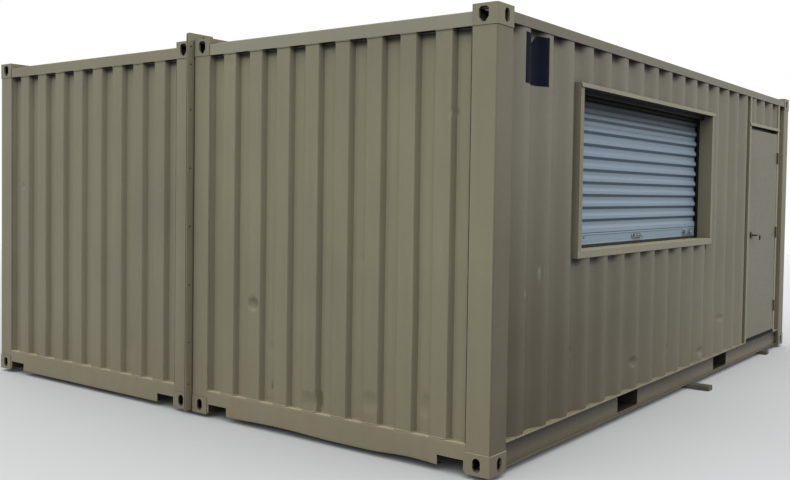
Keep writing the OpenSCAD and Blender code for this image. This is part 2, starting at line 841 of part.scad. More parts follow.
// One half of a hinge: its knuckles, the tongues that carry them and its plate at x0 to x1
module hinge_half(first, x0, x1, pin) {
  plate_from = hinge_d + knuckle_r + 0.5;
  difference() {
    union() {
      linear_extrude(hinge_h - knuckle_gap) span(x0, x1, plate_from, hinge_plate_d);
      for (i = [first : 2 : knuckles - 1]) translate([0, 0, i * hinge_h / knuckles])
        linear_extrude(knuckle_h) {
          translate([hinge_x, hinge_d]) circle(knuckle_r);
          span(x0, x1, hinge_d, plate_from);
        }
    }
    translate([hinge_x, hinge_d, -cut]) cylinder(r = pin_r + run, h = hinge_h + 2 * cut);
  }
  if (pin) translate([hinge_x, hinge_d, 0]) {
    cylinder(r = pin_r, h = hinge_h - knuckle_gap);
    for (i = [first : 2 : knuckles - 1]) translate([0, 0, i * hinge_h / knuckles])
      cylinder(r = pin_r + 2 * run, h = knuckle_h);
  }
}

module hinges() {
  in_front_wall() for (z = hinge_mids) translate([0, 0, leaf_z + z - hinge_h / 2]) children();
}

module door_hinge_frame_halves() {
  color(STEEL) hinges() hinge_half(0, door_right - hinge_t, door_right, true);
}

module door_hinge_leaf_halves() {
  color(STEEL) hinges() hinge_half(1, leaf_right, leaf_right + hinge_t, false);
}

module at_spindle() in_front_wall() translate([lever_x, 0, leaf_z + lever_z]) children();

module door_roses() {
  color(DARK) at_spindle() for (d = [leaf_d, leaf_back + rose_t]) translate([0, d, 0])
    rotate([90, 0, 0]) difference() {
      cylinder(r = rose_r, h = rose_t);
      translate([0, 0, -cut]) cylinder(r = spindle_r + run, h = rose_t + 2 * cut);
    }
}

// The bar of a lever: from the spindle towards the hinges, then a bend and a turned down end
module lever_bar() {
  bend = 2 * lever_r;
  rotate([0, 90, 0]) cylinder(r = lever_r, h = lever_len - bend);
  sphere(lever_r);
  translate([lever_len - bend, 0, -bend]) rotate([90, 0, 0])
    rotate_extrude(angle = 90) translate([bend, 0]) circle(lever_r);
  translate([lever_len, 0, -bend - lever_drop + lever_r]) {
    cylinder(r = lever_r, h = lever_drop - lever_r);
    sphere(lever_r);
  }
}

module door_lever() {
  color(DARK) at_spindle() {
    translate([0, leaf_back + lever_off, 0]) rotate([90, 0, 0])
      cylinder(r = spindle_r, h = leaf_t + 2 * lever_off);
    translate([0, leaf_d - lever_off, 0]) lever_bar();
    translate([0, leaf_back + lever_off, 0]) lever_bar();
  }
}

// Cargo doors

// The four tubes around a cargo door, shrunk by a wall thickness for their hollow
module cargo_ring(wall) {
  translate([cargo_d + wall, 0, 0]) rotate([90, 0, 90]) linear_extrude(cargo_t - 2 * wall) difference() {
    span(wall, cargo_w - wall, cargo_z + wall, cargo_z + cargo_h - wall);
    span(cargo_stile - wall, cargo_w - cargo_stile + wall,
         cargo_z + cargo_stile - wall, cargo_z + cargo_h - cargo_stile + wall);
  }
}

module cargo_leaf() {
  panel_h = cargo_h - 2 * cargo_stile;
  depth = cargo_t - sheet_t - 8;
  difference() {
    cargo_ring(0);
    cargo_ring(top_rail_t);
  }
  translate([cargo_d + 4, cargo_w - cargo_stile, cargo_z + cargo_stile])
    rotate([90, 0, 0]) linear_extrude(cargo_w - 2 * cargo_stile) mirror([1, -1])
      grooved_sheet(cargo_grooves, panel_h / cargo_grooves / 2, side_slope, depth, panel_h);
}

// Local frame of one cargo door: y runs from its hinge edge to the middle of the unit
module on_cargo_door(edge) {
  on_end(1) on_side(edge) translate([0, cast_w + cargo_gap, 0]) children();
}

module cargo_doors(side) {
  color(PAINT) in_unit(side) for (edge = BOTH) on_cargo_door(edge) cargo_leaf();
}

// A lock rod with its cams, its bearing brackets and its handle
module lock_rod(handle_way, handle_level) {
  rod_x = cargo_d - rod_r - 6;
  cam = 60;
  top = cargo_z + cargo_h + cargo_gap;
  bracket_w = 90;
  bracket_h = 50;
  handle_h = 36;
  catch_w = 45;
  translate([rod_x, 0, cargo_z - cargo_gap]) cylinder(r = rod_r, h = top - cargo_z + cargo_gap);
  for (z = [cargo_z, cargo_z + cargo_h - cam]) translate([rod_x - rod_r, -cam / 2, z])
    cube([cargo_d - rod_x + rod_r, cam, cam]);
  for (f = [0.28, 0.5, 0.72]) translate([rod_x, -bracket_w / 2, cargo_z + f * cargo_h])
    cube([cargo_d - rod_x, bracket_w, bracket_h]);
  translate([rod_x - 6, min(0, handle_way * handle_len), handle_level]) cube([12, handle_len, handle_h]);
  translate([rod_x - 10, handle_way * (handle_len - catch_w) - catch_w / 2, handle_level - handle_h / 4])
    cube([cargo_d - rod_x + 10, catch_w, handle_h * 1.5]);
}

module lock_gear(side) {
  color(STEEL) in_unit(side) for (edge = BOTH) on_cargo_door(edge) {
    translate([0, rod_from_edge, 0]) lock_rod(1, handle_z);
    translate([0, cargo_w - rod_from_edge, 0]) lock_rod(-1, handle_z + handle_step);
  }
}

// A blade from the post to the door face, with its knuckle
module cargo_hinge() {
  blade_t = 8;
  over = 70;
  translate([cargo_d - blade_t, -cargo_gap, 0]) cube([blade_t, cargo_gap + over, cargo_hinge_h]);
  translate([cargo_d - blade_t, -cargo_gap / 2, 0]) cylinder(r = cargo_gap / 2, h = cargo_hinge_h);
}

module cargo_hinge_set(side) {
  step = (cargo_h - 2 * cargo_stile) / (cargo_hinges - 1);
  color(STEEL) in_unit(side) for (edge = BOTH) on_cargo_door(edge)
    for (i = [0 : cargo_hinges - 1])
      translate([0, 0, cargo_z + cargo_stile + i * step - cargo_hinge_h / 2]) cargo_hinge();
}

// Joint between the units

// Flange outline as (x inwards from the end, z): an upright leg, and a top leg over the castings
module flange_outline(back) {
  top = unit_h + flange_up;
  difference() {
    translate([-flange_out, top]) mirror([0, 1]) union() {
      one_round_corner(flange_out + flange_seat, top - sill_z, arris_r);
      one_round_corner(flange_out + cast_len, flange_up + cast_h / 2, arris_r);
    }
    if (back == 0) {
      column = -flange_out / 2 + flange_hole / 4;
      pitch = (unit_h - 2 * flange_first) / (flange_holes - 1);
      evenly = [for (i = [0 : flange_holes - 1]) flange_first + i * pitch];
      for (z = concat([rail_top + 25], evenly, [unit_h - cast_h - 53, unit_h - 49]))
        translate([column, z]) circle(d = flange_hole);
      translate([cast_len - slot_from_end + flange_hole, unit_h + flange_up / 2]) circle(d = flange_hole);
    }
    span(-flange_out - cut, -flange_out + back, 0, top + cut);
    span(-flange_out - cut, cast_len + cut, top - back, top + cut);
  }
}

module joint_flanges() {
  color(PAINT) translate([0, 0, base_z]) for (end = BOTH, side = BOTH) on_end(end)
    translate([0, side * (joint_gap - flange_t) / 2, 0]) along_y(flange_t) flange_outline(0);
}

module joint_seals() {
  seal_back = 10;
  color(DARK) translate([0, 0, base_z]) for (end = BOTH) on_end(end)
    along_y(joint_gap - 2 * flange_t) flange_outline(seal_back);
}

// A folded hat over the gap, its feet on the flat margins of the two roofs
module roof_seam_cap() {
  foot = side_rail_top + sheet_t;
  top = unit_h + seam_up;
  half = seam_w / 2;
  length = unit_len - 2 * cast_len;
  color(PAINT) translate([0, 0, base_z]) along_x(-length / 2, length) difference() {
    union() {
      span(-half - seam_foot, half + seam_foot, foot, foot + sheet_t);
      span(-half, half, foot, top);
    }
    span(-half + sheet_t, half - sheet_t, foot - cut, top - sheet_t);
  }
}

module floor_joint_plate() {
  half = floor_side + joint_gap / 2 - 0.5;
  length = unit_len - 2 * cast_len - 2;
  color(STEEL) translate([-length / 2, -half, base_z + rail_top])
    cube([length, 2 * half, floor_top - rail_top]);
}

// Bearers

module bearer(x, out, side) {
  edge = side * (unit_w + joint_gap / 2 + out);
  translate([x - bearer_w / 2, min(edge, edge - side * bearer_len), 0])
    cube([bearer_w, bearer_len, bearer_t]);
}

module timber_bearers() {
  color(TIMBER) for (side = BOTH) {
    bearer(-side * bearer_in_x, bearer_in_out, side);
    bearer(-side * (unit_len / 2 - bearer_from_end), bearer_out_out, side);
  }
}

castings(FRONT);  // front_unit_castings
castings(REAR);  // rear_unit_castings
posts(FRONT);  // front_unit_posts
posts(REAR);  // rear_unit_posts
top_rails(FRONT);  // front_unit_top_rails
top_rails(REAR);  // rear_unit_top_rails
bottom_rails(FRONT);  // front_unit_bottom_rails
bottom_rails(REAR);  // rear_unit_bottom_rails
end_sills(FRONT);  // front_unit_end_sills
end_sills(REAR);  // rear_unit_end_sills
underframe(FRONT);  // front_unit_underframe
underframe(REAR);  // rear_unit_underframe
floor_boards(FRONT);  // front_unit_floor
floor_boards(REAR);  // rear_unit_floor
roof(FRONT);  // front_unit_roof
roof(REAR);  // rear_unit_roof
end_wall(FRONT);  // front_unit_end_wall
end_wall(REAR);  // rear_unit_end_wall
rear_side_wall();
front_wall_left();
front_wall_under_shutter();
front_wall_over_shutter();
front_wall_middle();
front_wall_over_door();
front_wall_right();
shutter_jambs();
shutter_head();
shutter_sill();
shutter_guides();
shutter_curtain();
shutter_bottom_bar();
shutter_coil();
drip_caps();
door_jambs();
door_head();
door_threshold();
door_leaf();
door_hinge_frame_halves();
door_hinge_leaf_halves();
door_roses();
door_lever();
cargo_doors(FRONT);  // front_unit_cargo_doors
cargo_doors(REAR);  // rear_unit_cargo_doors
lock_gear(FRONT);  // front_unit_lock_gear
lock_gear(REAR);  // rear_unit_lock_gear
cargo_hinge_set(FRONT);  // front_unit_cargo_hinges
cargo_hinge_set(REAR);  // rear_unit_cargo_hinges
joint_flanges();
joint_seals();
roof_seam_cap();
floor_joint_plate();
timber_bearers();
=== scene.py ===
# Looks, light and camera for the double-wide container building, over its CAD frame. Metres.
import json
import math

import bmesh
import bpy
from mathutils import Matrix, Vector, noise


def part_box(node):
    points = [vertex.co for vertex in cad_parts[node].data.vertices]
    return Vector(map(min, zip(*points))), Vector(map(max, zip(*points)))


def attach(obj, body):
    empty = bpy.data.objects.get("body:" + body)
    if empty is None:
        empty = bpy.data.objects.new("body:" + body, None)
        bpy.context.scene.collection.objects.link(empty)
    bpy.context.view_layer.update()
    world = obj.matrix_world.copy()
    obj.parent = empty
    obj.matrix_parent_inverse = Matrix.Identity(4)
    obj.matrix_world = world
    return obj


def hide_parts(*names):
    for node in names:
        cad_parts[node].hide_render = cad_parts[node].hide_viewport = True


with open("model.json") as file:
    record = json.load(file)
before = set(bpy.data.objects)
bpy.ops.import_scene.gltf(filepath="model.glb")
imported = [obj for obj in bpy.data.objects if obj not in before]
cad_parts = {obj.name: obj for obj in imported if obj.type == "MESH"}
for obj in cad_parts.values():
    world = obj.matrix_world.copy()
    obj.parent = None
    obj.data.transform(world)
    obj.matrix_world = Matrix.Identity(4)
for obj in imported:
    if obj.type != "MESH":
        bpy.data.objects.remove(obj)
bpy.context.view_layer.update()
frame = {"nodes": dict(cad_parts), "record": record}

SLOT_OF_NODE = {p["node"]: p["material_slot"] for p in frame["record"]["subparts"]}

# Sizes shared with the CAD source
SHEET = 0.002
END_GROOVES = 9
END_FLAT = 0.111
END_SLOPE = 0.018
END_DEPTH = 0.042
RIBS = 20
RIB_PITCH = 0.282
RIB_FLAT = 0.072
RIB_SLOPE = 0.068
RIB_DEPTH = 0.036
WAVE_PITCH = 0.0843
WAVE_FLAT = 0.022
WAVE_SLOPE = 0.019
WAVE_DEPTH = 0.014
WAVE_FIRST = 0.030
VENT_X = (2.162, 2.202)
VENT_Z = (2.315, 2.438)
CASTING_L, CASTING_W, CASTING_H = 0.178, 0.162, 0.118
POST_EDGE = 0.016
RIB_INSET = 0.010
SILL_INSET = 0.004

# Places read from the frame
END_X, FRONT_Y, CASTING_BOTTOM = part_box("front_unit_castings")[0]
RIBS_Y = FRONT_Y + RIB_INSET
HEAD_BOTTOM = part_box("shutter_head")[0].z
RAIL_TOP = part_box("front_unit_bottom_rails")[1].z
END_GROOVE_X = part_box("front_unit_end_wall")[0].x + END_DEPTH


# Node trees

class Nodes:
    """Shorthand for one node tree."""

    def __init__(self, tree):
        self.tree = tree
        tree.nodes.clear()

    def add(self, kind, values=None, **settings):
        node = self.tree.nodes.new(kind)
        for key, value in settings.items():
            setattr(node, key, value)
        for key, value in (values or {}).items():
            self.set(node.inputs[key], value)
        return node

    def set(self, socket, value):
        if isinstance(value, bpy.types.NodeSocket):
            self.tree.links.new(value, socket)
        else:
            socket.default_value = value

    def stretched(self, coords, scale):
        return self.add("ShaderNodeMapping", {"Vector": coords, "Scale": scale}).outputs["Vector"]

    def noise(self, coords, scale, detail=3.0, roughness=0.5):
        values = {"Vector": coords, "Scale": scale, "Detail": detail, "Roughness": roughness}
        return self.add("ShaderNodeTexNoise", values).outputs[0]

    def spread(self, value, low, high, to_low=0.0, to_high=1.0):
        values = {"Value": value, "From Min": low, "From Max": high, "To Min": to_low, "To Max": to_high}
        return self.add("ShaderNodeMapRange", values).outputs["Result"]

    def times(self, a, b):
        return self.add("ShaderNodeMath", {0: a, 1: b}, operation="MULTIPLY").outputs[0]

    def larger(self, a, b):
        return self.add("ShaderNodeMath", {0: a, 1: b}, operation="MAXIMUM").outputs[0]

    def vector(self, operation, a, b=(0, 0, 0)):
        node = self.add("ShaderNodeVectorMath", {0: a, 1: b}, operation=operation)
        return node.outputs["Value" if operation in ("LENGTH", "DOT_PRODUCT") else "Vector"]

    def mix(self, factor, a, b):
        node = self.add("ShaderNodeMix", data_type="RGBA")
        self.set(node.inputs["Factor"], factor)
        colours = [s for s in node.inputs if s.type == "RGBA"]
        self.set(colours[0], a)
        self.set(colours[1], b)
        return next(s for s in node.outputs if s.type == "RGBA")

    def bump(self, height, distance, strength=1.0):
        values = {"Height": height, "Distance": distance, "Strength": strength}
        return self.add("ShaderNodeBump", values).outputs["Normal"]


def linear(rgb):
    """An sRGB colour of 0 to 255 as a linear RGBA colour."""
    def channel(v):
        v /= 255
        return v / 12.92 if v <= 0.04045 else ((v + 0.055) / 1.055) ** 2.4
    return tuple(channel(v) for v in rgb) + (1.0,)


def shade(rgb, factor):
    return linear([min(255, v * factor) for v in rgb])


MATERIALS = {}


def new_material(name):
    """A material with one shader, kept in MATERIALS under its name."""
    mat = bpy.data.materials.new(name)
    mat.use_nodes = True
    MATERIALS[name] = mat
    n = Nodes(mat.node_tree)
    out = n.add("ShaderNodeOutputMaterial")
    bsdf = n.add("ShaderNodeBsdfPrincipled")
    n.set(out.inputs["Surface"], bsdf.outputs[0])
    coords = n.add("ShaderNodeTexCoord").outputs["Object"]
    return n, bsdf, coords


# Materials

# The first colour is dust; a darker brown of it is also painted shade on faces that look along -y.
DUST_AND_SHADE = (116, 104, 82)
RUST = (96, 58, 34)
SCUFF = (150, 146, 132)
# Near black of painted shade, and the mesh attribute that holds painted shade under ledges.
PAINTED_SHADE = (14, 13, 10)
LEDGE_SHADE = "shade_under_ledge"


def facing(n, axis):
    """How far a face looks along an axis, from -1 to 1."""
    normal = n.add("ShaderNodeNewGeometry").outputs["Normal"]
    return n.add("ShaderNodeSeparateXYZ", {"Vector": normal}).outputs[axis]


def open_sky(n, dark=0.10, clear=0.38, reach=0.3, lean=1.2):
    """How open a place is to the sky, from 0 to 1, which sets painted shade under ledges and inside holes."""
    normal = n.add("ShaderNodeNewGeometry").outputs["Normal"]
    upward = n.vector("NORMALIZE", n.vector("ADD", normal, (0, 0, lean)))
    ao = n.add("ShaderNodeAmbientOcclusion", {"Distance": reach, "Normal": upward}, samples=6)
    return n.spread(ao.outputs["AO"], dark, clear)


def with_painted_shade(n, colour, openness):
    """A colour darkened by painted shade where the sky is shut out, also by a mesh's own measure of it."""
    ledge = n.add("ShaderNodeAttribute", attribute_name=LEDGE_SHADE).outputs["Fac"]
    colour = n.mix(n.times(ledge, 0.92), colour, linear(PAINTED_SHADE))
    return n.mix(openness, linear(PAINTED_SHADE), colour)


class Coat:
    """Satin enamel on steel, faded in patches, while its layers of wear and painted light and shade go on."""

    def __init__(self, name, rgb):
        self.rgb = rgb
        self.n, self.bsdf, self.coords = new_material(name)
        n = self.n
        axes = n.add("ShaderNodeSeparateXYZ", {"Vector": self.coords})
        self.x, self.height = axes.outputs["X"], axes.outputs["Z"]
        self.patch = n.noise(self.coords, 1.1, 4)
        self.fine = n.noise(self.coords, 38, 5, 0.65)
        self.colour = n.mix(n.spread(self.patch, 0.3, 0.7), shade(rgb, 0.96), shade(rgb, 1.04))
        self.cover(n.spread(self.fine, 0.35, 0.75, 0, 0.12), shade(rgb, 0.82))

    def cover(self, share, colour):
        self.colour = self.n.mix(share, self.colour, colour)


def rain_streaks(coat, amount):
    n = coat.n
    runs = n.noise(n.stretched(coat.coords, (8, 8, 0.5)), 2.2, 5, 0.6)
    coat.cover(n.times(n.spread(runs, 0.52, 0.72), amount * 0.35), shade(coat.rgb, 0.74))
    coat.cover(n.times(n.spread(runs, 0.46, 0.3), amount * 0.25), shade(coat.rgb, 1.14))


def low_dust(coat, top, amount):
    """Dust in clouds that thin out up to a height."""
    n = coat.n
    low = n.spread(coat.height, top, 0.02)
    clouds = n.spread(n.noise(coat.coords, 4.5, 6, 0.62), 0.3, 0.7, 0.25, 1)
    coat.cover(n.times(n.times(low, amount), clouds), linear(DUST_AND_SHADE))


def rust_specks(coat, top, amount):
    """Specks of rust, most of them below a height."""
    n = coat.n
    low = n.spread(coat.height, top, 0.02)
    specks = n.spread(n.noise(coat.coords, 26, 6, 0.7), 0.66, 0.72, 0, amount)
    coat.cover(n.times(specks, n.spread(low, 0.15, 0.9, 0.15, 1)), linear(RUST))


def side_darkening(most_x, none_x, low_share, high_share):
    """Faces looking along -y darker and browner, most at one end and low down: painted shade of that side."""
    def put_on(coat):
        n = coat.n
        along = n.spread(coat.x, none_x, most_x)
        low = n.spread(coat.height, 2.0, 0.7, high_share, low_share)
        front = n.spread(facing(n, "Y"), -0.4, -0.8)
        clouds = n.spread(coat.patch, 0.25, 0.6, 0.7, 1)
        coat.cover(n.times(n.times(along, low), n.times(front, clouds)), shade(DUST_AND_SHADE, 0.6))
    return put_on


def scuffs(spots):
    """Scraped spots of paint, each as (x, y, z, half width, half height)."""
    def put_on(coat):
        n = coat.n
        rough = n.spread(n.noise(coat.coords, 55, 4, 0.6), 0.35, 0.6, 0.1, 0.75)
        for x, y, z, half_w, half_h in spots:
            from_middle = n.vector("SUBTRACT", coat.coords, (x, y, z))
            far = n.vector("LENGTH", n.vector("DIVIDE", from_middle, (half_w, half_w, half_h)))
            coat.cover(n.times(n.spread(far, 1.0, 0.55), rough), linear(SCUFF))
    return put_on


def lit_slopes(start_x, full_x, share):
    """Painted light on the slopes that look to the near end, growing along the building."""
    def put_on(coat):
        n = coat.n
        slope = n.spread(facing(n, "X"), -0.1, -0.4)
        along = n.spread(coat.x, start_x, full_x, 0, share)
        coat.cover(n.times(slope, along), shade(coat.rgb, 1.2))
    return put_on


def flange_shadow(none_z, most_z, share):
    """Painted shadow under an overhanging flange."""
    def put_on(coat):
        n = coat.n
        near = n.spread(coat.height, none_z, most_z, 0, share)
        upright = n.spread(facing(n, "Z"), 0.5, 0.2)
        coat.cover(n.times(near, upright), linear(PAINTED_SHADE))
    return put_on


def groove_light_and_shade(floor_share, slope_share):
    """Painted light on the groove floors and painted shade on the slopes of an end sheet."""
    def put_on(coat):
        n = coat.n
        sunk = n.spread(coat.x, END_GROOVE_X - 0.012, END_GROOVE_X - 0.002, 0, floor_share)
        coat.cover(n.times(sunk, n.spread(facing(n, "X"), -0.7, -0.9)), shade(coat.rgb, 1.25))
        coat.cover(n.spread(facing(n, "Y"), -0.5, -0.8, 0, slope_share), shade(coat.rgb, 0.6))
    return put_on


def dark_soffit(share):
    """Painted shade on faces that look down."""
    def put_on(coat):
        coat.cover(coat.n.spread(facing(coat.n, "Z"), -0.5, -0.9, 0, share), linear(PAINTED_SHADE))
    return put_on


def painted(name, rgb, *layers, darkening=None, streaks=0.35, dust_top=0.75, dust=0.5, rust=0.35, sheen=0.28,
            clear=0.38, lit_dusty_top=True, hollow=False):
    """Painted steel with wear: tops paled by painted light and dust, hollow insides darkened by painted
    shade.
    """
    coat = Coat(name, rgb)
    n, bsdf = coat.n, coat.bsdf
    rain_streaks(coat, streaks)
    low_dust(coat, dust_top, dust)
    if darkening:
        darkening(coat)
    rust_specks(coat, dust_top, rust)
    for put_on in layers:
        put_on(coat)
    # Painted shade where the sky is shut out.
    openness = open_sky(n, clear=clear)
    # Painted light with dust: faces that look up are paler and kept out of the painted shade.
    if lit_dusty_top:
        top = n.times(n.spread(facing(n, "Z"), 0.5, 0.9), n.spread(coat.height, 0.08, 0.16))
        coat.cover(n.times(top, 0.8), shade(rgb, 1.35))
        openness = n.larger(openness, top)
    # Painted shade inside hollow pieces.
    if hollow:
        openness = n.times(openness, open_sky(n, 0.25, 0.55, reach=0.07, lean=0))
    n.set(bsdf.inputs["Base Color"], with_painted_shade(n, coat.colour, openness))
    n.set(bsdf.inputs["Roughness"], n.spread(coat.fine, 0.2, 0.8, 0.44, 0.6))
    swell = n.bump(n.noise(coat.coords, 2.6, 2), 0.0015)
    skin = n.add("ShaderNodeBump", {"Height": n.noise(coat.coords, 420, 2), "Distance": 0.0002,
                                    "Strength": 0.5, "Normal": swell})
    n.set(bsdf.inputs["Normal"], skin.outputs["Normal"])
    bsdf.inputs["Specular IOR Level"].default_value = sheen


def curtain_paint():
    """Light baked enamel with hanging streaks, and painted light and shade by the way each face looks."""
    n, bsdf, coords = new_material("curtain_paint")
    base = (121, 138, 151)
    tilt = facing(n, "Z")
    patch = n.noise(coords, 2.0, 4)
    runs = n.noise(n.stretched(coords, (16, 16, 0.8)), 2.0, 5, 0.6)
    colour = n.mix(n.spread(patch, 0.3, 0.7), shade(base, 0.97), shade(base, 1.03))
    colour = n.mix(n.spread(runs, 0.5, 0.75, 0, 0.2), colour, shade(base, 0.8))
    colour = n.mix(n.spread(n.noise(coords, 60, 5, 0.7), 0.6, 0.8, 0, 0.25), colour, linear((118, 119, 114)))
    # Painted reflection: up slopes lighter as if showing the sky, down slopes darker as if showing the
    # ground.
    colour = n.mix(n.spread(tilt, 0.1, 0.5), colour, linear((134, 148, 160)))
    colour = n.mix(n.spread(tilt, -0.1, -0.5, 0, 0.85), colour, linear((42, 60, 76)))
    height = n.add("ShaderNodeSeparateXYZ", {"Vector": coords}).outputs["Z"]
    # Painted shadow of the head over the curtain's top, where its sheen is turned down too.
    head_shadow = n.spread(height, HEAD_BOTTOM - 0.16, HEAD_BOTTOM - 0.02)
    colour = n.mix(n.times(head_shadow, 0.95), colour, linear(PAINTED_SHADE))
    # Painted shade in the grooves where the sky is shut out.
    n.set(bsdf.inputs["Base Color"], with_painted_shade(n, colour, open_sky(n, 0.1, 0.7)))
    n.set(bsdf.inputs["Roughness"], n.spread(patch, 0.2, 0.8, 0.44, 0.56))
    n.set(bsdf.inputs["Normal"], n.bump(n.noise(coords, 300, 2), 0.0002, 0.4))
    n.set(bsdf.inputs["Specular IOR Level"], n.spread(head_shadow, 0, 1, 0.22, 0.02))


def galvanised():
    """Dull zinc with a faint spangle."""
    n, bsdf, coords = new_material("galvanised_steel")
    spangle = n.add("ShaderNodeTexVoronoi", {"Vector": coords, "Scale": 70}).outputs["Color"]
    grey = n.add("ShaderNodeRGBToBW", {"Color": spangle}).outputs[0]
    colour = n.mix(n.spread(grey, 0.2, 0.8), linear((112, 121, 125)), linear((150, 160, 164)))
    colour = n.mix(n.spread(n.noise(coords, 9, 5, 0.65), 0.5, 0.75, 0, 0.55), colour, linear((78, 86, 88)))
    n.set(bsdf.inputs["Base Color"], colour)
    n.set(bsdf.inputs["Roughness"], n.spread(grey, 0, 1, 0.38, 0.55))
    bsdf.inputs["Metallic"].default_value = 0.7


def dark_metal():
    """Dark bronzed metal, rubbed brighter in places, with painted shade where the sky is shut out."""
    n, bsdf, coords = new_material("dark_metal")
    worn = n.noise(coords, 30, 5, 0.6)
    colour = n.mix(n.spread(worn, 0.4, 0.75), linear((40, 39, 36)), linear((72, 68, 61)))
    n.set(bsdf.inputs["Base Color"], with_painted_shade(n, colour, open_sky(n)))
    n.set(bsdf.inputs["Roughness"], n.spread(worn, 0.3, 0.7, 0.55, 0.4))
    bsdf.inputs["Metallic"].default_value = 0.25


def rubber():
    """Black sealing strip, greyed by dust."""
    n, bsdf, coords = new_material("joint_rubber")
    dust = n.spread(n.noise(coords, 45, 5, 0.6), 0.45, 0.8)
    n.set(bsdf.inputs["Base Color"], n.mix(dust, linear((24, 24, 23)), linear((58, 55, 49))))
    bsdf.inputs["Roughness"].default_value = 0.8


def wood(name, pale, dark, along, plank=None):
    """Grain that runs along one axis, with darker bands, knots of dirt and plank joints."""
    n, bsdf, coords = new_material(name)
    scale = [28, 28, 28]
    scale[along] = 1.2
    grain = n.noise(n.stretched(coords, scale), 3.0, 6, 0.65)
    stain = n.noise(coords, 3.2, 5, 0.6)
    colour = n.mix(n.spread(grain, 0.3, 0.7), linear(dark), linear(pale))
    colour = n.mix(n.spread(stain, 0.45, 0.75, 0, 0.5), colour, shade(dark, 0.7))
    if plank:
        boards = n.add("ShaderNodeTexBrick", {"Vector": coords, "Scale": 1.0, "Mortar Size": 0.003,
                                              "Brick Width": plank[0], "Row Height": plank[1]})
        colour = n.mix(boards.outputs["Fac"], colour, shade(dark, 0.45))
    n.set(bsdf.inputs["Base Color"], colour)
    n.set(bsdf.inputs["Roughness"], n.spread(grain, 0.2, 0.8, 0.7, 0.9))
    n.set(bsdf.inputs["Normal"], n.bump(grain, 0.0015, 0.6))


def sign_paint():
    """Plain navy panel, slightly faded."""
    n, bsdf, coords = new_material("sign_navy")
    fade = n.spread(n.noise(coords, 7, 4), 0.3, 0.7)
    n.set(bsdf.inputs["Base Color"], n.mix(fade, linear((9, 13, 27)), linear((14, 19, 33))))
    n.set(bsdf.inputs["Roughness"], n.spread(fade, 0, 1, 0.55, 0.7))
    bsdf.inputs["Specular IOR Level"].default_value = 0.05


KHAKI = (121, 116, 96)
# The long side's khaki is darker than the ends': painted shade for its dimmer light.
LONG_SIDE = (112, 108, 95)
LONG_SIDE_SCUFFS = ((-2.466, -2.437, 1.110, 0.022, 0.080), (-2.646, -2.401, 1.005, 0.045, 0.035),
                    (-2.457, -2.437, 1.290, 0.012, 0.060), (-1.985, -2.437, 0.586, 0.030, 0.025))
POST_SIDE_DARKENING = side_darkening(-2.9, 9.0, 0.85, 0.5)

painted("khaki_paint", KHAKI)
# End sheets: painted light on groove floors, painted shade on slopes, and a darker far end as painted shade.
painted("front_end_paint", KHAKI, groove_light_and_shade(0.2, 0.2))
painted("rear_end_paint", (118, 113, 94), groove_light_and_shade(0.24, 0.0))
# Long side: painted light on its slopes and painted shade of the dimmer side.
painted("long_side_paint", LONG_SIDE, scuffs(LONG_SIDE_SCUFFS), lit_slopes(-1.6, 0.4, 0.2),
        darkening=side_darkening(-2.8, 1.6, 0.84, 0.0), streaks=0.25, sheen=0.16, clear=0.22)
# Rail: painted shadow under its flange and painted shade of the dimmer side.
painted("rail_paint", (108, 101, 84), flange_shadow(RAIL_TOP - 0.110, RAIL_TOP - 0.006, 0.85),
        darkening=side_darkening(-2.9, 1.6, 0.6, 0.0), dust_top=0.25, dust=0.35, rust=0.4)
painted("door_paint", (102, 99, 83), streaks=0.15, dust_top=0.6, dust=0.3, rust=0.1)
# Post and top rail: painted shade on faces that look along -y.
painted("post_paint", KHAKI, darkening=POST_SIDE_DARKENING, clear=0.25)
# Top rail: cooler khaki as painted sky reflection, and painted light on faces that look to the near end.
painted("top_rail_paint", (119, 117, 101), lit_slopes(-2.0, -2.9, 0.4), darkening=POST_SIDE_DARKENING, clear=0.25)
# Castings: painted shade inside them and on faces that look along -y.
painted("casting_paint", KHAKI, darkening=side_darkening(-2.9, 9.0, 0.5, 0.2), clear=0.45, lit_dusty_top=False,
        hollow=True)
painted("sill_paint", (126, 120, 99))
painted("underseal", (48, 45, 39), streaks=0.2, dust=0.2)
painted("jamb_paint", (114, 109, 91), clear=0.2)
# Drip caps dark underneath and the shutter head near black: painted shade under the caps.
painted("cap_paint", KHAKI, dark_soffit(0.96))
painted("head_paint", (24, 23, 20), streaks=0.1, dust=0.1, rust=0.1, sheen=0.05, lit_dusty_top=False)
painted("hinge_paint", (92, 86, 68), streaks=0.1, dust=0.1, sheen=0.15)
# Near black without sheen: partly the guides' own colour, partly painted shade of gaps by curtain and door.
painted("guide_black", (20, 20, 19), streaks=0.1, dust=0.1, rust=0.1, sheen=0.02)
curtain_paint()
galvanised()
dark_metal()
rubber()
wood("floor_plywood", (158, 122, 82), (112, 82, 52), 0, plank=(2.4, 1.2))
wood("bearer_timber", (96, 96, 84), (62, 62, 53), 1)
sign_paint()


# Mesh building

SHARP_DEGREES = 38


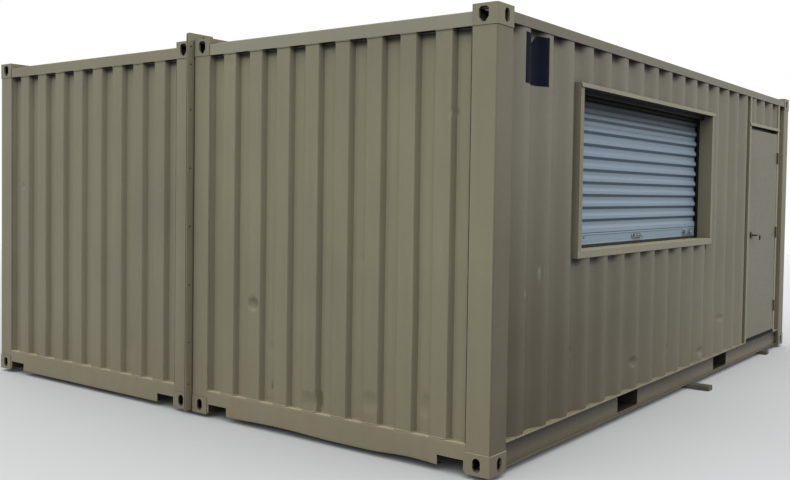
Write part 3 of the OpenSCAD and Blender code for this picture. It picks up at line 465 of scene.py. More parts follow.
class Shape:
    """Vertices and faces of one piece, with the painted shade under ledges on its vertices."""

    def __init__(self):
        self.verts = []
        self.faces = []
        self.ledge_shade = []

    def add(self, verts, faces, ledge_shade=None):
        start = len(self.verts)
        self.verts += [Vector(v) for v in verts]
        self.faces += [[start + i for i in face] for face in faces]
        self.ledge_shade += ledge_shade or [0.0] * len(verts)

    def loft(self, rings):
        """Closed rings of one length joined one to the next, with both ends closed."""
        count = len(rings[0])
        verts = [v for ring in rings for v in ring]
        faces = []
        for r in range(len(rings) - 1):
            for i in range(count):
                j = (i + 1) % count
                faces.append((r * count + i, r * count + j, (r + 1) * count + j, (r + 1) * count + i))
        last = (len(rings) - 1) * count
        faces.append(tuple(reversed(range(count))))
        faces.append(tuple(range(last, last + count)))
        self.add(verts, faces)

    def tube(self, path, radius, sides):
        """A round bar along a path; radius is a size or a function of the step along it."""
        rings = []
        for i, point in enumerate(path):
            ahead = Vector(path[min(i + 1, len(path) - 1)]) - Vector(path[max(i - 1, 0)])
            ahead.normalize()
            upright = abs(ahead.z) > 0.9
            side = (ahead.orthogonal() if upright else ahead.cross((0, 0, 1))).normalized()
            up = side.cross(ahead)
            r = radius(i) if callable(radius) else radius
            angles = [2 * math.pi * k / sides for k in range(sides)]
            rings.append([Vector(point) + r * (math.cos(a) * side + math.sin(a) * up) for a in angles])
        self.loft(rings)

    def spin(self, centre, axis, profile, sides):
        """Rings of (radius, height) about an axis through a point."""
        axis = Vector(axis).normalized()
        side = axis.orthogonal().normalized()
        other = axis.cross(side)
        rings = []
        for r, h in profile:
            angles = [2 * math.pi * k / sides for k in range(sides)]
            rings.append([Vector(centre) + h * axis + r * (math.cos(a) * side + math.sin(a) * other)
                          for a in angles])
        self.loft(rings)

    def plate(self, centre, u, v, normal, half_u, half_v, thick, edge):
        """A flat plate with softened front edges, standing on its back face."""
        u, v, normal = Vector(u), Vector(v), Vector(normal)

        def ring(shrink, height):
            a, b = half_u - shrink, half_v - shrink
            corners = ((-a, -b), (a, -b), (a, b), (-a, b))
            return [Vector(centre) + x * u + y * v + height * normal for x, y in corners]
        soft = edge * 0.3
        self.loft([ring(0, 0), ring(0, thick - edge), ring(soft, thick - soft), ring(edge, thick)])


def piece(name, shape, slot, body="building", material=None, stands_for=(), smooth=SHARP_DEGREES,
          bevel=0.0):
    """Put a shape into the scene as one piece that rides on a body."""
    mesh = bpy.data.meshes.new(name)
    mesh.from_pydata([tuple(v) for v in shape.verts], [], shape.faces)
    if any(shape.ledge_shade):
        mesh.attributes.new(LEDGE_SHADE, "FLOAT", "POINT").data.foreach_set("value", shape.ledge_shade)
    bm = bmesh.new()
    bm.from_mesh(mesh)
    bmesh.ops.recalc_face_normals(bm, faces=bm.faces)
    bm.to_mesh(mesh)
    bm.free()
    mesh.materials.append(MATERIALS[material or slot])
    mesh.shade_smooth()
    mesh.set_sharp_from_angle(angle=math.radians(smooth))
    obj = bpy.data.objects.new(name, mesh)
    bpy.context.scene.collection.objects.link(obj)
    if bevel:
        soften(obj, bevel)
    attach(obj, body)
    if stands_for:
        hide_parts(*stands_for)


def soften(obj, width, segments=2):
    """Rounded edges and clean shading by modifiers, with the mesh itself left as it is."""
    weld = obj.modifiers.new("weld", "WELD")
    weld.merge_threshold = 0.00002
    bevel = obj.modifiers.new("bevel", "BEVEL")
    bevel.width = width
    bevel.segments = segments
    bevel.limit_method = "ANGLE"
    bevel.angle_limit = math.radians(SHARP_DEGREES)
    bevel.use_clamp_overlap = True
    obj.modifiers.new("normals", "WEIGHTED_NORMAL").weight = 80


def between(a, b, t):
    return a + (b - a) * t


def steps(low, high, size):
    count = max(1, round((high - low) / size))
    return [between(low, high, i / count) for i in range(count + 1)]


def fillet(points, radius, count=3):
    """An open outline with its bends rounded."""
    out = [points[0]]
    for before, here, after in zip(points, points[1:], points[2:]):
        a, b, c = Vector(before), Vector(here), Vector(after)
        to_a, to_c = a - b, c - b
        turn = math.pi - to_a.angle(to_c)
        if turn < 0.05:
            out.append(here)
            continue
        reach = min(radius * math.tan(turn / 2), 0.45 * to_a.length, 0.45 * to_c.length)
        start, end = b + to_a.normalized() * reach, b + to_c.normalized() * reach
        for i in range(count + 1):
            t = i / count
            p = start.lerp(b, t).lerp(b.lerp(end, t), t)
            out.append((p.x, p.y))
    out.append(points[-1])
    return out


def refine(points, size):
    """An outline with no step longer than a size, which may depend on the place along it."""
    out = [points[0]]
    for a, b in zip(points, points[1:]):
        longest = size((a[0] + b[0]) / 2, abs(b[0] - a[0]) / 2) if callable(size) else size
        count = max(1, math.ceil(math.dist(a, b) / longest))
        out += [(between(a[0], b[0], i / count), between(a[1], b[1], i / count)) for i in range(1, count + 1)]
    return out


def offset(points, distance):
    """An outline moved sideways, towards larger depth."""
    out = []
    for i, point in enumerate(points):
        a, b = points[max(i - 1, 0)], points[min(i + 1, len(points) - 1)]
        along = Vector((b[0] - a[0], b[1] - a[1])).normalized()
        out.append((point[0] - along.y * distance, point[1] + along.x * distance))
    return out


def clipped(points, low, high):
    """The part of an outline between two places along it."""
    out = []
    for a, b in zip(points, points[1:]):
        if b[0] <= low or a[0] >= high:
            continue
        for edge in (low, high):
            if a[0] < edge < b[0]:
                cut = (edge, between(a[1], b[1], (edge - a[0]) / (b[0] - a[0])))
                a, b = (cut, b) if edge == low else (a, cut)
        if not out:
            out.append(a)
        out.append(b)
    return out


# Wall sheets

END_BEND = 0.005
SIDE_BEND = 0.080
END_LEDGE = 0.045
SIDE_LEDGE = 0.060
PLAIN_STEP = 0.035
DENTED_STEP = 0.010
LEAST_ROW = 0.004


class Dents:
    """Dents of a sheet, each as (place along, height, half width, half height, depth)."""

    def __init__(self, dents=(), swell=0.0012, seed=0.0):
        self.dents = dents
        self.swell = swell
        self.seed = seed

    def depth(self, u, z):
        total = self.swell * noise.noise(Vector((u * 2.1 + self.seed, z * 1.3, self.seed)))
        for du, dz, half_u, half_z, deep in self.dents:
            r = ((u - du) / half_u) ** 2 + ((z - dz) / half_z) ** 2
            if r < 1:
                total += deep * (1 - r) ** 1.3
        return total

    def step(self, mid, half):
        """The longest step along a stretch of the sheet: short where it is dented."""
        dented = any(abs(mid - du) < half_u + half for du, dz, half_u, half_z, deep in self.dents)
        return DENTED_STEP if dented else PLAIN_STEP

    def rows(self, low, high, size):
        """Heights of a sheet's rows: close together where it is dented."""
        levels = steps(low, high, size)
        for du, dz, half_u, half_z, deep in self.dents:
            levels += [z for z in steps(dz - half_z, dz + half_z, half_z / 5) if low < z < high]
        out = []
        for z in sorted(levels):
            if not out or z - out[-1] > LEAST_ROW:
                out.append(z)
        out[-1] = high
        return out


def with_places(points, places):
    """An outline with a point at each of some places along it."""
    out = [points[0]]
    for a, b in zip(points, points[1:]):
        cuts = sorted(p for p in places if a[0] < p < b[0])
        out += [(p, between(a[1], b[1], (p - a[0]) / (b[0] - a[0]))) for p in cuts] + [b]
    return out


def sheet_faces(rows, columns, filled):
    """Faces of a grid with vertices in front and behind by turns, closed round its filled cells."""
    def index(row, column, behind):
        return 2 * (row * columns + column) + behind

    faces = []
    for r in range(rows - 1):
        for c in range(columns - 1):
            if not filled(r, c):
                continue
            corners = [(r, c), (r, c + 1), (r + 1, c + 1), (r + 1, c)]
            beyond = [(r - 1, c), (r, c + 1), (r + 1, c), (r, c - 1)]
            faces.append([index(i, j, 0) for i, j in corners])
            faces.append([index(i, j, 1) for i, j in reversed(corners)])
            for a, b, cell in zip(corners, corners[1:] + corners[:1], beyond):
                if not filled(*cell):
                    faces.append([index(*a, 0), index(*a, 1), index(*b, 1), index(*b, 0)])
    return faces


def sheet(shape, outline, heights, place, dents, bend, slot=None, ledge_shade=None):
    """A formed sheet: an outline of (along, depth) run up through the heights.

    A slot as (places, heights) is left open. A vertex's painted shade comes from its depth and height.
    """
    front = refine(fillet(outline, bend), dents.step)
    if slot:
        front = with_places(front, slot[0])
        heights = sorted(set(heights) | set(slot[1]))
    back = offset(front, SHEET)
    columns, rows = len(front), len(heights)
    verts, darkening = [], []
    for z in heights:
        for (u, d), (bu, bd) in zip(front, back):
            sunk = dents.depth(u, z)
            verts += [place(u, d + sunk, z), place(bu, bd + sunk, z)]
            darkening += [ledge_shade(d, z) if ledge_shade else 0.0] * 2

    def filled(row, column):
        if not (0 <= row < rows - 1 and 0 <= column < columns - 1):
            return False
        if not slot:
            return True
        u = (front[column][0] + front[column + 1][0]) / 2
        z = (heights[row] + heights[row + 1]) / 2
        return not (slot[0][0] < u < slot[0][1] and slot[1][0] < z < slot[1][1])

    faces = sheet_faces(rows, columns, filled)
    used = sorted({i for face in faces for i in face})
    renumbered = {old: new for new, old in enumerate(used)}
    faces = [[renumbered[i] for i in face] for face in faces]
    shape.add([verts[i] for i in used], faces, [darkening[i] for i in used])


def shade_under_ledge(top, depth, reach):
    """Painted shade in a wall's grooves just under the ledge that closes them."""
    def ledge_shade(d, z):
        groove = min(1.0, max(0.0, d / depth * 1.6 - 0.5))
        near = min(1.0, max(0.0, (z - top + reach) / (0.7 * reach)))
        return groove * near
    return ledge_shade


def end_outline(low, high):
    """Outline of a blind end sheet from post to post, as (along, depth)."""
    pitch = (high - low + END_FLAT) / END_GROOVES
    points = []
    for i in range(END_GROOVES):
        start, end = low + i * pitch, low + (i + 1) * pitch - END_FLAT
        points += [(start, 0), (start + END_SLOPE, END_DEPTH), (end - END_SLOPE, END_DEPTH), (end, 0)]
    return points


def side_outline(low, high):
    """Outline of a long side sheet, clipped to its piece, as (along, depth)."""
    reach = RIB_FLAT / 2 + RIB_SLOPE
    first = -(RIBS - 1) / 2 * RIB_PITCH
    points = [(first - 1, RIB_DEPTH)]
    for i in range(RIBS):
        mid = first + i * RIB_PITCH
        points += [(mid - reach, RIB_DEPTH), (mid - RIB_FLAT / 2, 0),
                   (mid + RIB_FLAT / 2, 0), (mid + reach, RIB_DEPTH)]
    points.append((-first + 1, RIB_DEPTH))
    return clipped(points, low, high)


FRONT_END_DENTS = Dents((
    (-0.604, 0.826, 0.056, 0.050, 0.028), (-0.764, 0.293, 0.022, 0.050, 0.014),
    (-0.743, 0.543, 0.045, 0.060, 0.007), (-1.095, 0.235, 0.090, 0.085, 0.016),
    (-1.170, 0.262, 0.030, 0.080, 0.013), (-1.978, 0.351, 0.060, 0.080, 0.012),
    (-1.600, 0.320, 0.080, 0.070, 0.009), (-2.154, 2.035, 0.025, 0.035, 0.010),
    (-1.509, 1.178, 0.045, 0.050, 0.005), (-0.367, 2.430, 0.060, 0.050, 0.005),
    (-1.860, 0.950, 0.200, 0.450, 0.005),
), seed=1.7)
REAR_END_DENTS = Dents((
    (2.116, 1.588, 0.035, 0.035, 0.008), (1.432, 0.908, 0.045, 0.060, 0.006),
    (0.700, 0.400, 0.100, 0.120, 0.008), (1.750, 0.620, 0.160, 0.300, 0.005),
), seed=5.3)
FRONT_SIDE_DENTS = Dents((
    (-1.020, 0.387, 0.050, 0.045, 0.022), (-0.325, 0.384, 0.065, 0.050, 0.024),
    (0.943, 0.505, 0.070, 0.035, 0.011), (0.428, 0.278, 0.080, 0.040, 0.020),
    (1.074, 1.670, 0.045, 0.030, 0.012), (0.620, 0.750, 0.220, 0.350, 0.010),
    (-1.350, 0.550, 0.250, 0.300, 0.006), (-1.985, 0.586, 0.040, 0.035, 0.008),
    (-0.650, 0.300, 0.060, 0.050, 0.012),
), seed=9.1)
REAR_SIDE_DENTS = Dents(seed=12.4)


def end_wall(name, dents, material):
    """The formed sheet of a blind end, in place of its CAD node."""
    lo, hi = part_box(name)

    def place(y, depth, z):
        return Vector((lo.x + depth, y, z))
    shape = Shape()
    rows = sorted(dents.rows(lo.z, hi.z - END_LEDGE, 0.04) + steps(hi.z - END_LEDGE, hi.z, 0.01)[1:])
    ledge_shade = shade_under_ledge(hi.z, END_DEPTH, END_LEDGE)
    sheet(shape, end_outline(lo.y, hi.y), rows, place, dents, END_BEND, ledge_shade=ledge_shade)
    piece("formed_" + name, shape, SLOT_OF_NODE[name], material=material, stands_for=(name,))


def side_wall(name, outward, dents, row_height, material=None, slot=None):
    """A formed sheet of a long side, in place of its CAD node."""
    lo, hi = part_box(name)
    ribs_y = outward * abs(RIBS_Y)

    def place(x, depth, z):
        return Vector((x, ribs_y - outward * depth, z))
    shape = Shape()
    rows = sorted(dents.rows(lo.z, hi.z - SIDE_LEDGE, row_height) + steps(hi.z - SIDE_LEDGE, hi.z, 0.01)[1:])
    ledge_shade = shade_under_ledge(hi.z, RIB_DEPTH, SIDE_LEDGE)
    sheet(shape, side_outline(lo.x, hi.x), rows, place, dents, SIDE_BEND, slot, ledge_shade)
    piece("formed_" + name, shape, SLOT_OF_NODE[name], material=material, stands_for=(name,))


end_wall("front_unit_end_wall", FRONT_END_DENTS, "front_end_paint")
end_wall("rear_unit_end_wall", REAR_END_DENTS, "rear_end_paint")
for wall in ("left", "under_shutter", "over_shutter", "middle", "over_door", "right"):
    vent = (VENT_X, VENT_Z) if wall == "over_door" else None
    side_wall("front_wall_" + wall, -1, FRONT_SIDE_DENTS, 0.05, "long_side_paint", vent)
side_wall("rear_side_wall", 1, REAR_SIDE_DENTS, 0.12)


# Weld beads

WELD_R = 0.0045
THIN_WELD_R = 0.004
SEAM_R = 0.0035
WELD_LIFT = 0.002


def bead(shape, path, radius, seed):
    """A weld bead with the ripple of its passes."""
    def size(i):
        return radius * (1 + 0.35 * noise.noise(Vector((i * 0.83, seed, 0))))
    shape.tube(path, size, 6)


def end_welds(welds, seams, name, seed):
    """Beads of an end sheet at sill, header and far post, and sealant beside the near post."""
    lo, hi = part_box(name)
    line = refine(offset(fillet(end_outline(lo.y, hi.y), END_BEND), -0.001), 0.02)
    for z in (lo.z + WELD_LIFT, hi.z - WELD_LIFT):
        bead(welds, [(lo.x + d, y, z) for y, d in line], WELD_R, seed + z)
    bead(welds, [(lo.x + 0.001, hi.y, z) for z in steps(lo.z, hi.z, 0.03)], THIN_WELD_R, seed + hi.y)
    bead(seams, [(lo.x, lo.y + 0.004, z) for z in steps(lo.z, hi.z, 0.05)], SEAM_R, seed + lo.y)


def side_weld(welds, name):
    """A bead where a front sheet meets the bottom rail."""
    lo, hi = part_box(name)
    line = refine(offset(fillet(side_outline(lo.x, hi.x), SIDE_BEND), -0.001), 0.025)
    bead(welds, [(x, RIBS_Y + d, lo.z + WELD_LIFT) for x, d in line], THIN_WELD_R, lo.x)


def post_weld(welds):
    """A bead round the foot of the near post, on its casting."""
    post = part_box("front_unit_posts")[0]
    foot = [(post.x, FRONT_Y + CASTING_W), (post.x, post.y), (END_X + CASTING_L, post.y)]
    around = refine(fillet(foot, POST_EDGE, 5), 0.01)
    bead(welds, [(x, y, CASTING_BOTTOM + CASTING_H) for x, y in around], WELD_R, 3.0)


def wall_welds():
    welds, seams = Shape(), Shape()
    end_welds(welds, seams, "front_unit_end_wall", 1.0)
    end_welds(welds, seams, "rear_unit_end_wall", 2.0)
    for name in ("front_wall_left", "front_wall_under_shutter", "front_wall_middle", "front_wall_right"):
        side_weld(welds, name)
    post_weld(welds)
    piece("wall_welds", welds, "khaki_paint", smooth=60)
    piece("post_seams", seams, "joint_rubber", smooth=60)


wall_welds()


# End sills

SILL_SKIN = 0.0045
SILL_DEPTH = 0.050
NOTCH_GAP = 0.013
NOTCH_W = 0.178
NOTCH_TOP = 0.072
SAG_REACH = 0.09
SILL_BENDS = ((-0.84, 0.50, 0.010, 0.002), (-1.90, 0.30, 0.012, 0.004))


def sill_sag(y, z, low):
    """How far the near sill is bent at a place, as (inwards, up): each bend fades with the height."""
    share = max(0.0, 1 - (z - low) / SAG_REACH)
    up = inwards = 0.0
    for mid, half, lift, push in SILL_BENDS:
        r = ((y - mid) / half) ** 2
        if r < 1:
            up += lift * (1 - r) ** 2
            inwards += push * (1 - r) ** 2
    return share * inwards, share * up


def sill_section(height):
    """Outline of the folded channel from its lower lip round to its upper lip, as (depth, height)."""
    section = fillet([(SILL_DEPTH, 0.0), (0.0, 0.0), (0.0, height), (SILL_DEPTH, height)], 0.007, 3)
    return refine(section[:2], 0.02)[:-1] + refine(section[1:-1], 0.0145) + refine(section[-2:], 0.02)[1:]


def turn_outwards(bm, middle):
    """Turn the faces of a skin along y away from its middle."""
    for f in bm.faces:
        to_middle = middle - f.calc_center_median()
        to_middle.y = 0
        f.normal_update()
        if f.normal.dot(to_middle) > 0:
            f.normal_flip()
    bm.normal_update()


def in_order(bm):
    """Vertices and faces of a mesh, sorted by place, so that each run gives the same order."""
    bm.verts.index_update()
    verts = sorted(bm.verts, key=lambda v: v.co[:])
    rank = {v.index: i for i, v in enumerate(verts)}
    faces = sorted(([rank[v.index] for v in f.verts] for f in bm.faces), key=sorted)
    return [v.co.copy() for v in verts], faces


def end_sill(shape, end, low_y, high_y, level, top, bent):
    """A folded channel with two notches, as a skin of quads given a thickness."""
    face = end * (abs(END_X) - SILL_INSET)
    section = sill_section(top - level)
    first, last = low_y + NOTCH_GAP, high_y - NOTCH_GAP
    notches = [(first, first + NOTCH_W), (last - NOTCH_W, last)]
    edges = sorted({low_y, high_y, *[e for notch in notches for e in notch]})
    along = sorted({round(y, 5) for a, b in zip(edges, edges[1:]) for y in steps(a, b, 0.03)})
    notch_level = CASTING_BOTTOM + NOTCH_TOP
    bm = bmesh.new()
    grid = []
    for y in along:
        row = []
        for depth, height in section:
            z = level + height
            push, lift = sill_sag(y, z, level) if bent else (0, 0)
            row.append(bm.verts.new((face - end * (depth + push), y, z + lift)))
        grid.append(row)
    for i, (a, b) in enumerate(zip(along, along[1:])):
        open_here = any(n0 - 1e-6 <= a and b <= n1 + 1e-6 for n0, n1 in notches)
        for k in range(len(section) - 1):
            mid = level + (section[k][1] + section[k + 1][1]) / 2
            if not (open_here and mid < notch_level):
                bm.faces.new((grid[i][k], grid[i + 1][k], grid[i + 1][k + 1], grid[i][k + 1]))
    bmesh.ops.delete(bm, geom=[v for v in bm.verts if not v.link_faces], context="VERTS")
    turn_outwards(bm, Vector((face - end * SILL_DEPTH / 2, 0, (level + top) / 2)))
    bmesh.ops.solidify(bm, geom=list(bm.faces), thickness=SILL_SKIN)
    shape.add(*in_order(bm))
    bm.free()


def end_sills(name, bent):
    lo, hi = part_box(name)
    shape = Shape()
    for end in (-1, 1):
        end_sill(shape, end, lo.y, hi.y, lo.z, hi.z, bent and end < 0)
    piece("folded_" + name, shape, SLOT_OF_NODE[name], material="sill_paint", stands_for=(name,))


end_sills("front_unit_end_sills", True)
end_sills("rear_unit_end_sills", False)


# Roller shutter

CURTAIN_LO, CURTAIN_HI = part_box("shutter_curtain")
BAR_LO, BAR_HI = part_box("shutter_bottom_bar")
SEAL_H = 0.019
LATCH_X = -0.775
BOLT_X = 0.30
RIVET = ((0.006, 0), (0.006, 0.002), (0.004, 0.0038), (0.0012, 0.0045))


def curtain_outline():
    """The hanging sheet from its bottom bar up to the roll, as (height, depth)."""
    height = CURTAIN_HI.z - CURTAIN_LO.z
    gap = WAVE_PITCH - WAVE_FLAT
    points = [(0, 0)]
    start = WAVE_FIRST
    while start + gap < height:
        end = start + gap
        points += [(start, 0), (start + WAVE_SLOPE, WAVE_DEPTH), (end - WAVE_SLOPE, WAVE_DEPTH), (end, 0)]
        start += WAVE_PITCH
    return points + [(height, 0)]


def curtain_sheet():
    """The corrugated curtain, faintly uneven along its length."""
    def place(height, depth, x):
        return Vector((x, CURTAIN_LO.y + depth, CURTAIN_LO.z + height))
    shape = Shape()
    uneven = Dents(swell=0.0008, seed=20.6)
    sheet(shape, curtain_outline(), steps(CURTAIN_LO.x, CURTAIN_HI.x, 0.12), place, uneven, 0.009)
    piece("shutter_sheet", shape, "curtain_paint", stands_for=("shutter_curtain",), smooth=50)


def bottom_bar():
    """The bar under the curtain: a face with a bead at its top and foot, and a soft seal below."""
    shape = Shape()
    low, high = BAR_LO.z + SEAL_H, BAR_HI.z
    front = BAR_LO.y
    outline = [(0.014, low + 0.001), (0.0, low), (-0.001, low + 0.006), (0.001, low + 0.012),
               (0.001, high - 0.020), (-0.001, high - 0.014), (0.0, high - 0.004), (0.014, high - 0.001)]
    section = fillet(outline, 0.004, 2)
    closed = section + [(0.016, high - 0.001), (0.016, low + 0.001)]
    shape.loft([[Vector((x, front + 0.002 + d, z)) for d, z in closed] for x in (BAR_LO.x, BAR_HI.x)])
    piece("shutter_bar", shape, "curtain_paint", stands_for=("shutter_bottom_bar",), bevel=0.0006)
    seal = Shape()
    lip = [(0.004, low + 0.0015), (0.012, low + 0.0015), (0.0125, BAR_LO.z + 0.005),
           (0.009, BAR_LO.z + 0.0005), (0.005, BAR_LO.z + 0.004)]
    seal.loft([[Vector((x, front + d, z)) for d, z in lip] for x in (BAR_LO.x + 0.002, BAR_HI.x - 0.002)])
    piece("shutter_seal", seal, "joint_rubber")


def shutter_fittings():
    """Centre latch, slide bolt at the right and rivets on the face of the bottom bar."""
    shape = Shape()
    out = (0, -1, 0)
    face = BAR_LO.y + 0.001
    sunk = face - 0.002
    mid_z = (BAR_LO.z + SEAL_H + BAR_HI.z) / 2

    def plate(x, y, z, half_w, half_h, thick, edge):
        shape.plate((x, y, z), (1, 0, 0), (0, 0, 1), out, half_w, half_h, thick, edge)

    plate(LATCH_X, face, mid_z, 0.085, 0.016, 0.003, 0.001)
    latch = [(LATCH_X - 0.07, face - 0.012, mid_z + 0.004), (LATCH_X + 0.055, face - 0.012, mid_z + 0.004),
             (LATCH_X + 0.068, face - 0.016, mid_z - 0.002), (LATCH_X + 0.075, face - 0.02, mid_z - 0.016)]
    shape.tube(latch, 0.005, 10)
    for x in (LATCH_X - 0.055, LATCH_X, LATCH_X + 0.045):
        plate(x, sunk, mid_z + 0.004, 0.007, 0.011, 0.016, 0.002)
    plate(BOLT_X, face, mid_z, 0.10, 0.026, 0.003, 0.001)
    shape.tube([(BOLT_X - 0.08, face - 0.011, mid_z), (BOLT_X + 0.13, face - 0.011, mid_z)], 0.0065, 12)
    for x in (BOLT_X - 0.06, BOLT_X + 0.07):
        plate(x, sunk, mid_z, 0.011, 0.017, 0.017, 0.003)
    shape.tube([(BOLT_X - 0.01, face - 0.011, mid_z), (BOLT_X - 0.01, face - 0.032, mid_z)], 0.0045, 10)
    rivets = [(-1.668, mid_z + 0.01), (BOLT_X - 0.09, mid_z + 0.018), (BOLT_X + 0.09, mid_z - 0.018),
              (LATCH_X - 0.078, mid_z), (LATCH_X + 0.035, mid_z - 0.011)]
    for x, z in rivets:
        shape.spin((x, sunk, z), out, RIVET, 14)
    piece("shutter_fittings", shape, "galvanised_steel", smooth=40)


curtain_sheet()
bottom_bar()
shutter_fittings()


# Sign foil and door furniture

SIGN_X = (-2.695, -2.414)
SIGN_Z = (2.216, 2.503)
PEEL_X = (-2.640, -2.512)
PEEL_SLOPES = (0.050, 0.070)
PEEL_DROP = 0.052
FOIL_FRONT = -0.0022
FOIL_BACK = -0.0008
FOIL_ROWS = 10


def sign_top(x):
    """Height of the sign's upper edge, which has come off and sunk in the groove."""
    peeled = min((x - PEEL_X[0]) / PEEL_SLOPES[0], (PEEL_X[1] - x) / PEEL_SLOPES[1], 1.0)
    return SIGN_Z[1] - PEEL_DROP * max(0.0, peeled)


def sign_foil():
    """A bare foil pressed onto a rib and the groove beside it, next to the corner post."""
    lo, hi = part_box("front_wall_left")
    wall = refine(clipped(fillet(side_outline(lo.x, hi.x), SIDE_BEND), *SIGN_X), 0.012)

    def place(point, z):
        x, depth = point
        return Vector((x, RIBS_Y + depth + FRONT_SIDE_DENTS.depth(x, z), z))
    rings = []
    for front, back in zip(offset(wall, FOIL_FRONT), offset(wall, FOIL_BACK)):
        top = sign_top(front[0])
        levels = [between(SIGN_Z[0], top, i / FOIL_ROWS) for i in range(FOIL_ROWS + 1)]
        rings.append([place(front, z) for z in levels] + [place(back, z) for z in reversed(levels)])
    shape = Shape()
    shape.loft(rings)
    piece("sign_foil", shape, "dark_metal", material="sign_navy")


def door_furniture():
    """The latch and its plate in the edge of the leaf."""
    lo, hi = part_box("door_leaf")
    rose_lo, rose_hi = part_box("door_roses")
    mid = Vector((lo.x, (lo.y + hi.y) / 2, (rose_lo.z + rose_hi.z) / 2))
    shape = Shape()
    shape.plate(mid, (0, 1, 0), (0, 0, 1), (-1, 0, 0), 0.012, 0.10, 0.002, 0.0006)
    shape.plate(mid - Vector((0.001, 0, 0)), (0, 1, 0), (0, 0, 1), (-1, 0, 0), 0.006, 0.011, 0.003, 0.001)
    piece("door_latch", shape, "dark_metal", body="door")


sign_foil()
door_furniture()


# CAD nodes

EDGE_BY_WORD = (
    ("castings", 0.003), ("posts", 0.0015), ("top_rails", 0.003), ("bottom_rails", 0.0012),
    ("underframe", 0.001), ("roof", 0.0005), ("shutter_jambs", 0.003), ("shutter_head", 0.003),
    ("shutter_sill", 0.003), ("shutter_guides", 0.0008), ("drip_caps", 0.0005), ("door_jambs", 0.0012),
    ("door_head", 0.0012), ("door_threshold", 0.001), ("door_leaf", 0.002), ("door_hinge", 0.0004),
    ("door_roses", 0.002), ("cargo_doors", 0.001), ("lock_gear", 0.002), ("cargo_hinges", 0.001),
    ("joint_flanges", 0.001), ("joint_seals", 0.0005), ("roof_seam_cap", 0.0005), ("floor", 0.001),
    ("timber", 0.004),
)
PAINT_BY_WORD = (
    ("door_leaf", "door_paint"), ("castings", "casting_paint"), ("front_unit_posts", "post_paint"),
    ("front_unit_top_rails", "top_rail_paint"), ("underframe", "underseal"),
    # The threshold and shutter head near black and the drip caps dark underneath, as painted shade.
    ("shutter_guides", "guide_black"), ("door_threshold", "guide_black"), ("door_hinge", "hinge_paint"),
    ("shutter_jambs", "jamb_paint"), ("shutter_head", "head_paint"), ("drip_caps", "cap_paint"),
)


def finish_cad_nodes():
    """Paint and softened edges for the CAD pieces that are shown as they are."""
    for name, obj in frame["nodes"].items():
        obj.data.materials.clear()
        paint = next((paint for word, paint in PAINT_BY_WORD if word in name), SLOT_OF_NODE[name])
        obj.data.materials.append(MATERIALS[paint])
        edge = next((width for word, width in EDGE_BY_WORD if word in name), 0)
        if edge and not obj.hide_render:
            obj.data.shade_smooth()
            soften(obj, edge, 3 if edge > 0.002 else 2)


finish_cad_nodes()


# Floor, light and camera

FLOOR_SEEN = 0.50
FLOOR_BOUNCE = 0.33
FLOOR_FADE = (9.0, 24.0)
ZENITH = 2.1
SIDE_BIAS = 0.30
BRIGHT_SIDE = (-0.75, -0.66, 0)


def seen_directly(n):
    """1 for rays from the camera, from metal and through glass; 0 for light that bounces."""
    path = n.add("ShaderNodeLightPath")
    mirrored = n.larger(path.outputs["Is Glossy Ray"], path.outputs["Is Transmission Ray"])
    return n.larger(path.outputs["Is Camera Ray"], mirrored)


def grey(level):
    return (level, level, level, 1)


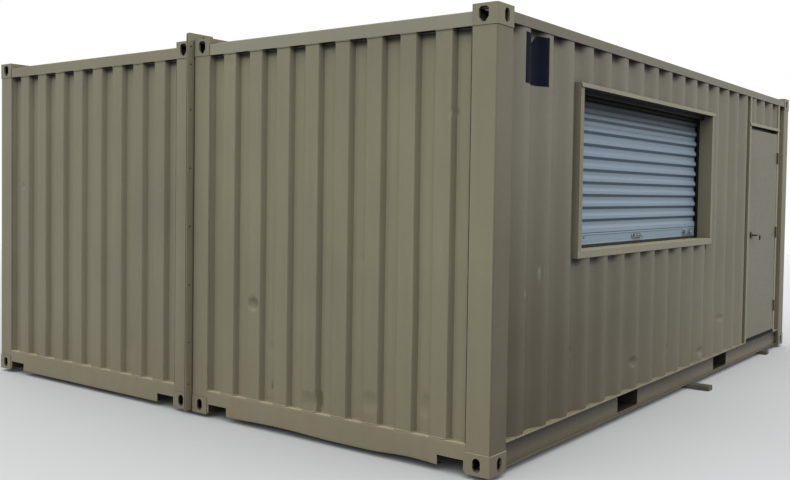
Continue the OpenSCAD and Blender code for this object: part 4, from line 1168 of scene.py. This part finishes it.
def floor():
    """A plain pale floor that fades into the white far from the building."""
    mesh = bpy.data.meshes.new("floor")
    r = FLOOR_FADE[1]
    sides = 64
    angles = [2 * math.pi * i / sides for i in range(sides)]
    ring = [(r * math.cos(a), r * math.sin(a), 0) for a in angles]
    mesh.from_pydata(ring, [], [tuple(range(sides))])
    n, bsdf, coords = new_material("studio_floor")
    mottle = n.spread(n.noise(coords, 0.4, 2), 0.3, 0.7, FLOOR_SEEN - 0.01, FLOOR_SEEN + 0.01)
    n.set(bsdf.inputs["Base Color"], n.mix(seen_directly(n), grey(FLOOR_BOUNCE), mottle))
    bsdf.inputs["Roughness"].default_value = 0.95
    bsdf.inputs["Specular IOR Level"].default_value = 0.1
    fade = n.add("ShaderNodeMixShader", {0: n.spread(n.vector("LENGTH", coords), *FLOOR_FADE)})
    n.set(fade.inputs[1], bsdf.outputs[0])
    n.set(fade.inputs[2], n.add("ShaderNodeBsdfTransparent").outputs[0])
    out = next(node for node in n.tree.nodes if node.type == "OUTPUT_MATERIAL")
    n.set(out.inputs["Surface"], fade.outputs[0])
    mesh.materials.append(MATERIALS["studio_floor"])
    obj = bpy.data.objects.new("floor", mesh)
    bpy.context.scene.collection.objects.link(obj)


def sky():
    """An overcast dome, three times as bright overhead as low down, which is seen as plain white."""
    world = bpy.data.worlds.new("sky")
    bpy.context.scene.world = world
    world.use_nodes = True
    n = Nodes(world.node_tree)
    direction = n.add("ShaderNodeTexCoord").outputs["Generated"]
    up = n.add("ShaderNodeSeparateXYZ", {"Vector": direction}).outputs["Z"]
    overhead = n.spread(up, 0, 1, ZENITH / 3, ZENITH)
    side = n.vector("DOT_PRODUCT", direction, BRIGHT_SIDE)
    level = n.times(overhead, n.spread(side, -1, 1, 1 - SIDE_BIAS, 1 + SIDE_BIAS))
    dome = n.add("ShaderNodeBackground", {"Color": (0.97, 0.99, 1.0, 1), "Strength": level})
    seen = n.add("ShaderNodeBackground", {"Color": (1, 1, 1, 1), "Strength": 1.0})
    mix = n.add("ShaderNodeMixShader", {0: seen_directly(n)})
    n.set(mix.inputs[1], dome.outputs[0])
    n.set(mix.inputs[2], seen.outputs[0])
    out = n.add("ShaderNodeOutputWorld")
    n.set(out.inputs["Surface"], mix.outputs[0])


def camera():
    """The photographer's place, from the corner castings in the picture."""
    cam = bpy.data.cameras.new("camera")
    cam.sensor_width = 36
    cam.lens = 42.07
    cam.shift_x = -0.0034
    cam.shift_y = -0.0241
    cam.clip_end = 200
    obj = bpy.data.objects.new("camera", cam)
    obj.location = (-7.335, -5.004, 1.586)
    obj.rotation_euler = (1.53895, -0.01467, -0.93019)
    bpy.context.scene.collection.objects.link(obj)
    bpy.context.scene.camera = obj


floor()
sky()
camera()
bpy.context.scene.view_settings.view_transform = "Standard"

bpy.context.view_layer.update()
